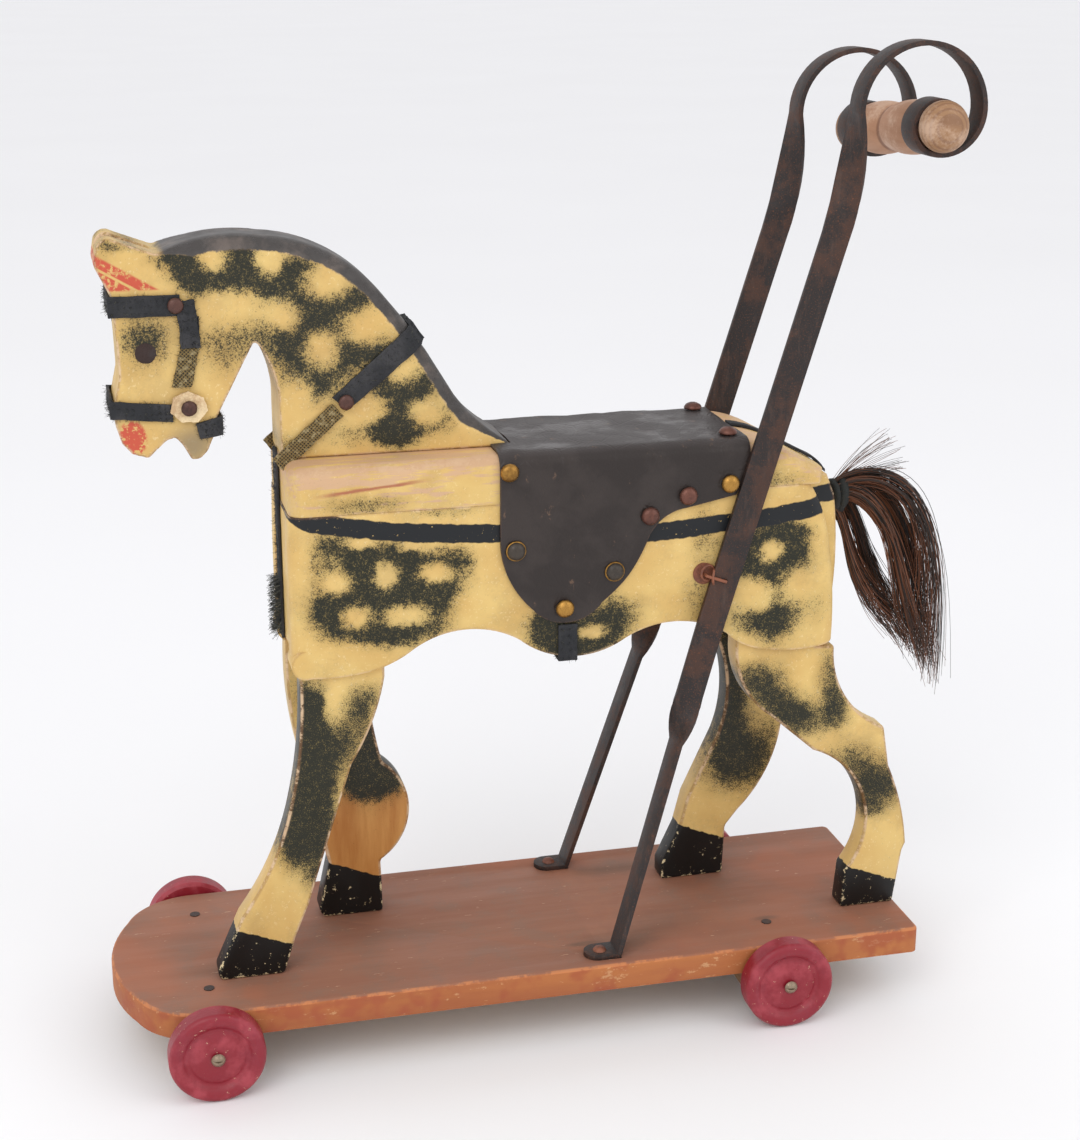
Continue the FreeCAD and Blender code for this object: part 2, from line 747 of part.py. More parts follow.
def make_saddle():
    """A leather saddle bent over the back, cut to a flap on each side and around the neck's tip."""
    body = new_body("saddle")
    start = body_grid.at(SADDLE_START, 0)[0]
    sketch = new_sketch(body, "saddle_section", "YZ_Plane", start)
    low = seam - cell("saddle_drop")
    inner, outer = body_half + strap_gap, body_half + strap_gap + cell("leather")
    under, over = back_top + strap_gap, back_top + strap_gap + cell("leather")
    bend = cell("corner_round") * 0.8
    wide = bend + cell("leather")
    mid, far = bend * 0.293, wide * 0.293
    draw_outline(
        sketch,
        [
            (-outer, low), (-outer, over - wide), (-outer + far, over - far, -outer + wide, over),
            (outer - wide, over), (outer - far, over - far, outer, over - wide), (outer, low),
            (inner, low), (inner, under - bend), (inner - mid, under - mid, inner - bend, under),
            (-inner + bend, under), (-inner + mid, under - mid, -inner, under - bend), (-inner, low),
        ],
    )
    pad(body, sketch, saddle_length)
    grid = Pattern(start, low, saddle_length, cell("saddle_drop"), (170, 115))
    flap = new_sketch(body, "saddle_flap", "XZ_Plane")
    draw_outline(
        flap,
        grid.trace(
            (-9, 98), (0, 98), (5, 66, 22, 42), (44, 31.5, 69, 44), (88, 63, 99, 83),
            (108, 97, 126, 105), (161, 112), (170.3, 134), (180, 134), (180, -9), (-9, -9),
        ),
    )
    cut_away(body, flap, midplane=True)
    notch = new_sketch(body, "saddle_neck_notch", "XY_Plane", under - 5)
    tip = neck_grid.at(150, 0)[0] + 1
    side = neck_half + 0.5
    draw_outline(notch, [(start - 5, -side), (tip, -side), (tip, side), (start - 5, side)])
    cut_away(body, notch, 20, reverse=True)
    return body


def make_saddle_nails():
    """Domed nails round each flap and across the saddle's rear edge."""
    low = seam - cell("saddle_drop")
    start = body_grid.at(SADDLE_START, 0)[0]
    grid = Pattern(start, low, saddle_length, cell("saddle_drop"), (170, 115))
    spots = ((6, 137), (10, 84), (43, 42), (77, 65), (101, 101.5), (127, 113.5), (156, 120))
    face = body_half + strap_gap + cell("leather")
    top = back_top + strap_gap + cell("leather")
    heads = []
    for label, side in (("left", -1), ("right", 1)):
        for i, spot in enumerate(spots):
            across, up = grid.at(*spot)
            heads.append(
                nail_head(f"saddle_nail_{label}_{i}", (across, face * side, up), Vector(0, side, 0),
                          cell("nail_diameter"), cell("nail_height"))
            )
    for i, share in enumerate((-0.74, 0.74)):
        place = (grid.at(159, 0)[0], body_half * share, top)
        heads.append(
            nail_head(f"saddle_nail_top_{i}", place, Vector(0, 0, 1),
                      cell("nail_diameter"), cell("nail_height"))
        )
    combine("Part::Compound", "saddle_nails", *heads)


def make_girth():
    """A strap that runs down both sides from the flaps and under the belly."""
    body = new_body("girth_strap")
    width = cell("girth_width")
    centre = body_grid.at(183, 0)[0]
    sketch = new_sketch(body, "girth_section", "YZ_Plane", centre - width / 2)
    top = seam - cell("saddle_drop") + 30
    inner, outer = body_half + strap_gap, body_half + strap_gap + cell("leather")
    under = body_grid.at(0, 6.6)[1]
    draw_outline(
        sketch,
        [(-outer, top), (-outer, under - cell("leather")), (outer, under - cell("leather")),
         (outer, top), (inner, top), (inner, under), (-inner, under), (-inner, top)],
    )
    pad(body, sketch, width)
    return body


def make_crupper():
    """A narrow strap from the saddle's rear edge over the rump to the tail."""
    grid = Pattern(body_front, seam, cell("body_length"), cell("back_board_thickness"), (374, 32))
    lift = cell("leather")
    path = [(309, 31.8), (322, 29.1, 337, 22.8), (373, 3.3), (380, -5)]
    lower = grid.trace(*path)
    upper = [tuple(place + lift * (i % 2) for i, place in enumerate(step)) for step in lower]
    outline = lower + [upper[3], upper[2], upper[1][2:], upper[1][:2] + upper[0]]
    return slab("crupper_strap", outline, cell("crupper_width"))


def head_band(name, outline, opening, front):
    """A band round the head: a side outline whose middle is cut out over the head's thickness.

    opening is the X where the band's inner side begins. The band closes at the front or the back.
    """
    face = neck_half + strap_gap
    body = slab(name, outline, (face + cell("leather")) * 2)
    sketch = new_sketch(body, name + "_opening", "XY_Plane", outline[0][1])
    far = opening + 150 if front else opening - 150
    draw_outline(sketch, [(opening, -face), (far, -face), (far, face), (opening, face)])
    cut_away(body, sketch, midplane=True)
    return body


def make_bridle():
    """Browband, cheek straps, noseband, chin strap, two rosettes and the nails through them."""
    brow_low, brow_high = neck_grid.at(0, 96)[1], neck_grid.at(0, 109)[1]
    brow_front, brow_end = neck_grid.at(-102, 0)[0], neck_grid.at(-58, 0)[0]
    head_band(
        "browband",
        [(brow_front, brow_low), (brow_end, brow_low), (brow_end, brow_high), (brow_front, brow_high)],
        brow_front + cell("leather"),
        True,
    )
    nose = neck_grid.trace((-104.4, 33), (-66, 29), (-66, 40), (-104.4, 44))
    head_band("noseband", nose, nose[0][0] + cell("leather"), True)
    chin = neck_grid.trace((-50, 17), (-35.2, 19), (-35.2, 31), (-52, 27))
    head_band("chin_strap", chin, neck_grid.at(-37.4, 0)[0], False)
    cheek = neck_grid.trace((-59, 95), (-47, 95), (-47, 77), (-53.5, 51), (-65.5, 51), (-59, 77))
    disc_across, disc_up = neck_grid.at(-56, 38)
    discs, pins = [], []
    stud = (cell("small_nail_diameter"), cell("small_nail_height"))
    for label, side in (("left", -1), ("right", 1)):
        plank(f"cheek_strap_{label}", cheek, cell("leather"), neck_half + strap_gap, side)
        face = neck_half + strap_gap * 2 + cell("leather")
        way = "+Y" if side > 0 else "-Y"
        place = (disc_across, face * side, disc_up)
        disc = rod(f"rosette_{label}", place, way, cell("rosette_diameter"), cell("rosette_thickness"))
        discs.append(disc)
        place = (disc_across, (face + cell("rosette_thickness")) * side, disc_up)
        pins.append(nail_head(f"rosette_nail_{label}", place, Vector(0, side, 0), *stud))
        across, up = neck_grid.at(-61, 102.5)
        strap_face = (neck_half + strap_gap + cell("leather")) * side
        place = (across, strap_face, up)
        pins.append(nail_head(f"browband_nail_{label}", place, Vector(0, side, 0), *stud))
        across, up = neck_grid.at(43, 36)
        place = (across, strap_face, up)
        pins.append(nail_head(f"neck_strap_nail_{label}", place, Vector(0, side, 0), *stud))
    combine("Part::Compound", "rosettes", *discs)
    combine("Part::Compound", "bridle_nails", *pins)


def make_neck_strap():
    """A strap laid over the crest and nailed on both sides of the neck."""
    face = neck_half + strap_gap
    outline = neck_grid.trace((34.5, 39), (43.5, 30), (97, 72.5), (89, 83.8), (80, 78))
    body = slab("neck_strap", outline, (face + cell("leather")) * 2)
    sketch = new_sketch(body, "neck_strap_opening", "XZ_Plane")
    inner = neck_grid.trace((83.5, 86.3), (98.5, 64.3), (40, -20), (-20, 40))
    draw_outline(sketch, inner)
    cut_away(body, sketch, face * 2, midplane=True)
    return body


def make_chest_strap():
    """A strap down the middle of the chest, with a tuft of fur near its lower end."""
    back = body_front + 0.7
    half = cell("strap_width") / 2
    top = back_top + 2
    low = seam - cell("chest_strap_drop") * 0.75
    strap = box("chest_strap_strip", (back - cell("leather"), -half, low), (back, half, top))
    combine("Part::Compound", "chest_strap", strap)
    tuft_low = low + 4
    front = back - cell("leather") - strap_gap
    tuft = box(
        "chest_tuft_block",
        (front - cell("tuft_depth"), -half - 2, tuft_low),
        (front, half + 2, tuft_low + cell("tuft_height")),
    )
    combine("Part::Compound", "chest_tuft", tuft)


# ---------------------------------------------------------------- handle


def arc_edge(centre, radius, start, end):
    """An arc in the XZ plane between two angles in degrees, going clockwise seen from -Y."""
    spots = []
    for share in (0, 0.5, 1):
        turn = math.radians(start + (end - start) * share)
        spots.append(centre + Vector(math.cos(turn), 0, math.sin(turn)) * radius)
    return Part.Arc(*spots).toShape()


def strip_section(centre, along, turn, width, thickness):
    """The strip's rectangle across a direction. turn is 0 with the width along Y and 90 across it."""
    flat = Vector(0, 1, 0)
    flat = (flat - along * flat.dot(along)).normalize()
    edgewise = along.cross(flat)
    spin = math.radians(turn)
    wide = flat * math.cos(spin) + edgewise * math.sin(spin)
    thin = edgewise * math.cos(spin) - flat * math.sin(spin)
    corners = [
        centre + wide * (width / 2 * a) + thin * (thickness / 2 * b)
        for a, b in ((-1, -1), (1, -1), (1, 1), (-1, 1), (-1, -1))
    ]
    return Part.makePolygon(corners)


def make_strut(name, side, grip_height):
    """An iron strip from the board to the grip.

    It stands on a round-ended foot tab, twists a quarter turn, passes the horse's side, twists back
    along a bend, and curls over into an eye round the grip. Returns the place of its tie hole.
    """
    width, thick = cell("strip_width").value, cell("strip_thickness").value
    eye_radius = cell("grip_diameter").value / 2 + cell("grip_clearance").value + thick / 2
    eye = Vector((cell("grip_across") - middle).value, 0, grip_height.value)
    loop_radius = cell("loop_radius").value
    bend_radius = loop_radius * 6.5
    loop = eye + Vector(-11, 0, 11)
    reach, rise = loop.x + loop_radius - eye.x, loop.z - eye.z
    tuck_radius = (reach**2 + rise**2 - eye_radius**2) / (2 * (reach - eye_radius))
    tuck = Vector(loop.x + loop_radius - tuck_radius, 0, loop.z)
    tuck_end = math.degrees(math.atan2(eye.z - tuck.z, eye.x - tuck.x))
    bend = Vector(loop.x - loop_radius - bend_radius, 0, loop.z)
    foot = Vector((cell("strut_foot") - middle).value, 0, board_top.value + thick / 2)
    lean = 15.0
    for _ in range(40):
        turn = math.radians(lean)
        start = bend + Vector(math.cos(turn), 0, -math.sin(turn)) * bend_radius
        lean = math.degrees(math.atan2(start.x - foot.x, start.z - foot.z))
    arcs = (
        (loop, loop_radius, 180, 0),
        (tuck, tuck_radius, 0, tuck_end),
        (eye, eye_radius, tuck_end, -380),
    )
    outer = [arc_edge(c, r + thick / 2, a, b) for c, r, a, b in arcs]
    inner = [arc_edge(c, r - thick / 2, a, b) for c, r, a, b in arcs]
    caps = [
        Part.makeLine(outer[-1].lastVertex(True).Point, inner[-1].lastVertex(True).Point),
        Part.makeLine(outer[0].firstVertex(True).Point, inner[0].firstVertex(True).Point),
    ]
    face = Part.Face(Part.Wire(Part.__sortEdges__(outer + inner + caps)))
    curl = face.extrude(Vector(0, width, 0))
    grip_side = cell("grip_spread").value * side
    curl.translate(Vector(0, grip_side - width / 2, 0))

    spread = cell("strut_foot_spread").value * side
    beside = strut_side.value * side
    twist = cell("strut_twist").value
    leg_run = start - foot
    body_low = belly.value + 14
    lower_twist = belly.value - 31 + 11 * side

    def on_run(height):
        share = min(1.0, (height - foot.z) / (body_low - foot.z))
        across = spread + (beside - spread) * share
        return foot + leg_run * ((height - foot.z) / leg_run.z) + Vector(0, across, 0)

    stations = [(on_run(foot.z), 0.0)]
    stations += [(on_run(lower_twist + twist * (i / 6 - 0.5)), 15.0 * i) for i in range(7)]
    stations += [(on_run(body_low + 14), 90.0), (on_run(start.z), 90.0)]
    for i in range(1, 10):
        turn = math.radians(lean * (1 - i / 9))
        place = bend + Vector(math.cos(turn), 0, -math.sin(turn)) * bend_radius
        place.y = beside + (grip_side - beside) * i / 9
        stations.append((place, 90.0 * (1 - i / 9)))
    places = [place for place, _ in stations]
    sections = []
    for before, (place, turn), after in zip(places[:1] + places, stations, places[1:] + places[-1:]):
        along = (after - before).normalize()
        if place in (places[0], places[-1]):
            along = Vector(0, 0, 1)
        sections.append(strip_section(place, along, turn, width, thick))
    bar = Part.makeLoft(sections, True, True)
    tab_length = cell("strut_tab").value
    tab_end = Vector(foot.x - tab_length - thick / 2 + width / 2, spread, board_top.value)
    tab = Part.makeBox(
        foot.x + thick / 2 - tab_end.x, width, thick, tab_end - Vector(0, width / 2, 0)
    )
    tab = tab.fuse(Part.makeCylinder(width / 2, thick, tab_end))
    whole = tab.fuse([bar, curl]).removeSplitter()
    hole = Part.makeCylinder(
        cell("strut_screw_diameter").value / 2, thick * 3,
        Vector(foot.x - tab_length * 0.55, spread, board_top.value - thick),
    )
    tie = on_run(body_grid.at(0, 53)[1].value)
    tie_hole = Part.makeCylinder(
        cell("tie_hole_diameter").value / 2, thick * 3, tie - Vector(0, thick * 1.5, 0), Vector(0, 1, 0)
    )
    plain_feature(name, whole.cut(hole).cut(tie_hole))
    return tie


def make_strut_fasteners(ties_at):
    """Foot screws, and on each side a washer, its screw and a wire tie through the strut."""
    screws, discs, ties = [], [], []
    thick = cell("strip_thickness")
    depth = cell("strut_screw_depth")
    disc_thick = cell("side_washer_thickness")
    wire = cell("tie_wire_diameter").value / 2
    for label, side, tie in ties_at:
        across = cell("strut_foot") - middle - cell("strut_tab") * 0.55
        spread = cell("strut_foot_spread") * side
        low = (across, spread, board_top - depth)
        shank = rod(f"foot_shank_{label}", low, "+Z", cell("strut_screw_diameter"), thick + depth)
        head = nail_head(f"foot_head_{label}", (across, spread, board_top + thick), Vector(0, 0, 1),
                         cell("wheel_head_diameter"), cell("wheel_head_height"))
        screw = document.addObject("Part::MultiFuse", f"foot_screw_{label}")
        screw.Shapes = [shank, head]
        screws.append(screw)
        way = "+Y" if side > 0 else "-Y"
        pin_across, pin_up = body_grid.at(277.5, 58)
        place = (pin_across, body_half * side, pin_up)
        discs.append(rod(f"side_washer_{label}", place, way, cell("side_washer_diameter"), disc_thick))
        face = body_half.value + disc_thick.value
        outside = strut_side.value + thick.value / 2 + wire + 0.2
        stations = [
            Vector(pin_across.value, face * side, pin_up.value),
            Vector(pin_across.value, outside * side, pin_up.value),
            Vector(tie.x, outside * side, tie.z),
            Vector(tie.x, (strut_side.value + 0.2) * side, tie.z),
        ]
        pieces = [Part.makeSphere(wire, station) for station in stations[1:3]]
        for a, b in zip(stations, stations[1:]):
            pieces.append(Part.makeCylinder(wire, (b - a).Length, a, b - a))
        ties.append(pieces[0].fuse(pieces[1:]).removeSplitter())
    combine("Part::Compound", "strut_foot_screws", *screws)
    combine("Part::Compound", "side_washers", *discs)
    plain_feature("wire_ties", Part.Compound(ties))


def make_grip():
    """A turned grip: two beads, a seat for each eye and a knob at each end."""
    spread, over = cell("grip_spread"), cell("grip_overhang")
    seat, bead = cell("grip_diameter") / 2, cell("grip_bead_diameter") / 2
    play = cell("strip_width") / 2 + 2
    knob = seat + 2.2
    end = spread + over
    body = new_body("handle_grip")
    sketch = new_sketch(body, "grip_section", "XY_Plane")
    half = [
        (as_size(0), bead - 2.2), (as_size(1.2), bead - 2.2),
        (spread * 0.5 - play / 2, bead + 0.3, spread - play, bead - 1.2),
        (spread - play, seat), (spread + play, seat), (spread + play, knob - 0.8),
        (spread + play + over * 0.25, knob + 0.1, end - 4, knob - 2.2),
        (end, seat * 0.55), (end, as_size(0)),
    ]
    mirror = [(-end, as_size(0)), (-end, seat * 0.55), (-(end - 4), knob - 2.2),
              (-(spread + play + over * 0.25), knob + 0.1, -(spread + play), knob - 0.8),
              (-(spread + play), seat), (-(spread - play), seat), (-(spread - play), bead - 1.2),
              (-(spread * 0.5 - play / 2), bead + 0.3, as_size(-1.2), bead - 2.2)]
    outline = mirror + half[1:]
    draw_outline(sketch, outline)
    turned = body.newObject("PartDesign::Revolution", "grip_turning")
    turned.Profile = sketch
    turned.ReferenceAxis = (sketch, ["H_Axis"])
    turned.Angle = 360
    document.recompute()
    rise = cell("grip_height_right") - cell("grip_height_left")
    tilt = math.degrees(math.atan2(rise.value, spread.value * 2))
    across_toy = Rotation(Vector(0, 0, 1), 90)
    body.Placement = Placement(Vector(), Rotation(Vector(1, 0, 0), tilt).multiply(across_toy))
    bind(body, "Placement.Base.x", cell("grip_across") - middle)
    bind(body, "Placement.Base.z", (cell("grip_height_left") + cell("grip_height_right")) / 2)
    return body


def check_and_export():
    """Stop on any failed object, then write each node's solid."""
    document.recompute()
    failed = [o.Name for o in document.Objects if "Invalid" in o.State or "Error" in o.State]
    if failed:
        raise RuntimeError(f"these objects failed: {failed}")
    os.makedirs("parts", exist_ok=True)
    for node in nodes:
        shape = node.Shape
        if shape.isNull() or not shape.isValid() or not shape.Solids:
            raise RuntimeError(f"{node.Label} has no valid solid")
        shape.exportStep(f"parts/{node.Label}.step")
        print(f"{node.Label}: {len(shape.Solids)} solid(s), {shape.Volume:.0f} mm3")


make_board()
make_axle_block("axle_block_front", front_axle)
make_axle_block("axle_block_rear", rear_axle)
make_block_nails()
for wheel_end, wheel_axle in (("front", front_axle), ("rear", rear_axle)):
    make_wheel(f"wheel_{wheel_end}_left", wheel_axle, -1)
    make_wheel(f"wheel_{wheel_end}_right", wheel_axle, 1)
make_wheel_fasteners()
make_side_board("body_side_left", -1)
make_side_board("body_side_right", 1)
make_legs()
make_core()
make_back_board()
make_neck_and_head()
make_dowels()
make_eyes()
make_tail()
make_saddle()
make_saddle_nails()
make_girth()
make_crupper()
make_bridle()
make_neck_strap()
make_chest_strap()
tie_holes = [
    ("left", -1, make_strut("strut_left", -1, cell("grip_height_left"))),
    ("right", 1, make_strut("strut_right", 1, cell("grip_height_right"))),
]
make_strut_fasteners(tie_holes)
make_grip()
check_and_export()
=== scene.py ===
"""Looks of the wooden push-along horse: painted wood, worn harness, iron handle and red wheels.

Lengths are metres. The horse faces -X, its left side is -Y, and +Z is up.
"""

import math
import random
from contextlib import contextmanager

import bpy
from bpy.props import FloatProperty, FloatVectorProperty, IntProperty, PointerProperty
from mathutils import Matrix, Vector
from mathutils.kdtree import KDTree


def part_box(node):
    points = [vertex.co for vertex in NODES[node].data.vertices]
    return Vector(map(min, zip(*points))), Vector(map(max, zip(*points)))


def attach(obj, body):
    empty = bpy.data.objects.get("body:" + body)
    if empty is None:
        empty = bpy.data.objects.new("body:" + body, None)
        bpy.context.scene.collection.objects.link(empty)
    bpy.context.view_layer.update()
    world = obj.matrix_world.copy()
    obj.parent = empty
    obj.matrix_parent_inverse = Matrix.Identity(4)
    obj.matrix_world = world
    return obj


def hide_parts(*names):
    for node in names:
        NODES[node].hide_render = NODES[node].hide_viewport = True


bl_info = {
    "name": "Push-along Horse",
    "version": (1, 0, 0),
    "blender": (4, 5, 0),
    "location": "View3D > Sidebar > Horse",
    "description": "Builds the painted horse, its harness, platform and push handle around the frame",
    "category": "Object",
}

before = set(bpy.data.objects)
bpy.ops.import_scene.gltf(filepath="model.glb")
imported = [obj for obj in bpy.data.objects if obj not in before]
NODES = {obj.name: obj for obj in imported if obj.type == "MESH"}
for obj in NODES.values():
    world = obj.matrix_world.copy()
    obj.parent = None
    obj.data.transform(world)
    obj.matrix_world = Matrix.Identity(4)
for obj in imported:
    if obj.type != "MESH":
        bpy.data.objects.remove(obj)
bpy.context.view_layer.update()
MM = 0.001


def tone(red, green, blue):
    """A colour given as a paint chart's three numbers from 0 to 255, in linear light."""
    parts = [part / 255 for part in (red, green, blue)]
    return [part / 12.92 if part <= 0.04045 else ((part + 0.055) / 1.055) ** 2.4 for part in parts]


def colour_property(name, description, chart):
    return FloatVectorProperty(
        name=name, description=description, subtype="COLOR", size=3, min=0, max=1, default=tone(*chart)
    )


def length_property(name, description, default):
    return FloatProperty(name=name, description=description, default=default, unit="LENGTH")


# ---------------------------------------------------------------- settings


class HorsePaint(bpy.types.PropertyGroup):
    cream: colour_property("Cream", "Ground coat of the horse", (224, 193, 122))
    amber: colour_property("Amber", "Where the ground coat has yellowed", (198, 154, 82))
    dapple: colour_property("Dapple", "Stippled dark paint", (31, 33, 24))
    mane: colour_property("Mane", "Paint on the crest of the neck", (70, 66, 64))
    raw_wood: colour_property("Raw wood", "Bare wood where the paint has worn off", (201, 160, 124))
    red: colour_property("Red", "Paint inside the ears and on the lips", (196, 84, 62))
    hoof: colour_property("Hoof", "Black enamel of the hooves", (22, 21, 20))
    edge: length_property("Edge", "Rounding of the planks' edges", 0.0018)
    crest: length_property("Crest", "Rounding of the neck's crest", 0.011)


class PlatformPaint(bpy.types.PropertyGroup):
    top: colour_property("Board top", "Faded paint on top of the board", (152, 104, 82))
    side: colour_property("Board side", "Paint on the board's edges", (160, 88, 48))
    wheel: colour_property("Wheel", "Paint of the wheels", (138, 25, 40))
    edge: length_property("Edge", "Rounding of the board's lower edges", 0.002)


class HarnessFinish(bpy.types.PropertyGroup):
    leather: colour_property("Saddle leather", "Waxed brown-black leather", (40, 32, 29))
    black: colour_property("Strap leather", "Black leather of the straps", (33, 34, 38))
    brass: colour_property("Brass", "Bright nail heads", (176, 132, 66))
    copper: colour_property("Copper", "Dull nail heads", (112, 72, 60))
    braid: colour_property("Braid", "Tarnished gold braid", (128, 106, 60))
    thickness: length_property("Saddle thickness", "Thickness of the saddle's leather", 0.0017)


class HandleFinish(bpy.types.PropertyGroup):
    iron: colour_property("Iron", "Dark oxide on the struts", (44, 38, 37))
    rust: colour_property("Rust", "Brown rust on the struts", (78, 54, 44))
    grip: colour_property("Grip", "Turned wood of the grip", (190, 142, 108))


class HairFinish(bpy.types.PropertyGroup):
    dark: colour_property("Dark hair", "Most of the tail", (44, 34, 28))
    chestnut: colour_property("Chestnut hair", "Red-brown strands", (112, 66, 40))
    strands: IntProperty(name="Strands", description="Hairs in each lock of the tail", default=150)
    width: length_property("Hair width", "Half the width of one hair", 0.00022)


class StageSettings(bpy.types.PropertyGroup):
    floor: colour_property("Floor", "Pale floor", (247, 247, 248))
    camera_place: FloatVectorProperty(
        name="Camera place", description="Where the camera stands", subtype="TRANSLATION",
        unit="LENGTH", size=3, default=(-0.32545, -1.2945, 0.7376),
    )
    camera_turn: FloatProperty(
        name="Camera turn", description="Turn towards +X", subtype="ANGLE", default=math.radians(14.02)
    )
    camera_tilt: FloatProperty(
        name="Camera tilt", description="Tilt below level", subtype="ANGLE", default=math.radians(17.60)
    )
    lens: FloatProperty(name="Lens", description="Focal length in mm on a 36 mm side", default=64.68)
    daylight: FloatProperty(name="Daylight", description="Strength of the even light", default=1.0)
    window: FloatProperty(
        name="Window", description="Power of the large soft light", default=26.0, unit="POWER"
    )


# ---------------------------------------------------------------- working on meshes


def deselect():
    bpy.ops.object.select_all(action="DESELECT")


def work_on(obj):
    deselect()
    obj.select_set(True)
    bpy.context.view_layer.objects.active = obj


def add_shape(kind, name, **settings):
    """A new primitive, with its place and turn taken into its mesh."""
    deselect()
    getattr(bpy.ops.mesh, f"primitive_{kind}_add")(**settings)
    shape = bpy.context.active_object
    shape.name = name
    bpy.ops.object.transform_apply(location=True, rotation=True, scale=True)
    return shape


def settle(piece, place, turn):
    """Turn a finished piece, put it in its place, and take both into its mesh."""
    piece.location = place
    piece.rotation_euler = turn
    work_on(piece)
    bpy.ops.object.transform_apply(location=True, rotation=True, scale=True)


@contextmanager
def editing(obj, kind="VERT"):
    """Edit mode on one object with all of it selected."""
    work_on(obj)
    bpy.ops.object.mode_set(mode="EDIT")
    bpy.ops.mesh.select_mode(type=kind)
    bpy.ops.mesh.select_all(action="SELECT")
    yield
    bpy.ops.object.mode_set(mode="OBJECT")


def apply_modifier(obj, kind, **settings):
    work_on(obj)
    modifier = obj.modifiers.new(kind.title(), kind)
    for key, value in settings.items():
        setattr(modifier, key, value)
    bpy.ops.object.modifier_apply(modifier=modifier.name)


def copy_of(name, *nodes, flat=0.8):
    """A new piece from the meshes of CAD nodes, merged, with its flat faces joined up."""
    parts = []
    for node in nodes:
        part = bpy.data.objects.new(name, NODES[node].data.copy())
        bpy.context.scene.collection.objects.link(part)
        parts.append(part)
    work_on(parts[0])
    for part in parts[1:]:
        part.select_set(True)
    if len(parts) > 1:
        bpy.ops.object.join()
    piece = parts[0]
    piece.data.materials.clear()
    with editing(piece):
        bpy.ops.mesh.customdata_custom_splitnormals_clear()
        bpy.ops.mesh.remove_doubles(threshold=0.00001)
        bpy.ops.mesh.dissolve_limited(angle_limit=math.radians(flat))
    return piece


def round_edges(piece, width, segments=2, angle=32):
    apply_modifier(
        piece, "BEVEL", width=width, segments=segments, limit_method="ANGLE",
        angle_limit=math.radians(angle),
    )


def slice_up(piece, axis, step):
    """Cut a piece across one axis at even steps, so that it can bend."""
    places = [vertex.co[axis] for vertex in piece.data.vertices]
    low, high = min(places), max(places)
    normal = Vector((0, 0, 0))
    normal[axis] = 1
    with editing(piece):
        for i in range(1, math.ceil((high - low) / step)):
            bpy.ops.mesh.select_all(action="SELECT")
            bpy.ops.mesh.bisect(plane_co=normal * (low + i * step), plane_no=normal)


def ripple(piece, strength, size, seed=0, **settings):
    """Push a surface in and out by soft noise."""
    texture = bpy.data.textures.new(f"{piece.name}_ripple_{seed}", "CLOUDS")
    texture.noise_scale = size
    texture.noise_depth = 1
    apply_modifier(
        piece, "DISPLACE", texture=texture, texture_coords="LOCAL", strength=strength, mid_level=0.5,
        **settings,
    )
    bpy.data.textures.remove(texture)


def set_piece(piece, body, slot, *materials, replaces=(), smooth=32):
    """Give a finished mesh its materials and shading, and set it on its body."""
    piece.data.materials.clear()
    for material in materials:
        piece.data.materials.append(material)
    work_on(piece)
    bpy.ops.object.shade_smooth_by_angle(angle=math.radians(smooth))
    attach(piece, body)
    if replaces:
        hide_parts(*replaces)
    return piece


def dress_node(node, material):
    """A CAD node that stays in view takes a finish of its own."""
    NODES[node].data.materials.clear()
    NODES[node].data.materials.append(material)


def solids_of(node):
    """The lowest and highest corners of each separate solid in a node."""
    piece = copy_of(node + "_measure", node)
    with editing(piece):
        bpy.ops.mesh.separate(type="LOOSE")
    loose = list(bpy.context.selected_objects)
    boxes = []
    for part in loose:
        places = [vertex.co for vertex in part.data.vertices]
        low = Vector([min(p[i] for p in places) for i in range(3)])
        high = Vector([max(p[i] for p in places) for i in range(3)])
        boxes.append((low, high))
    for part in loose:
        bpy.data.objects.remove(part)
    return sorted(boxes, key=lambda box: tuple(round(v, 5) for v in box[0]))


# ---------------------------------------------------------------- shader nodes


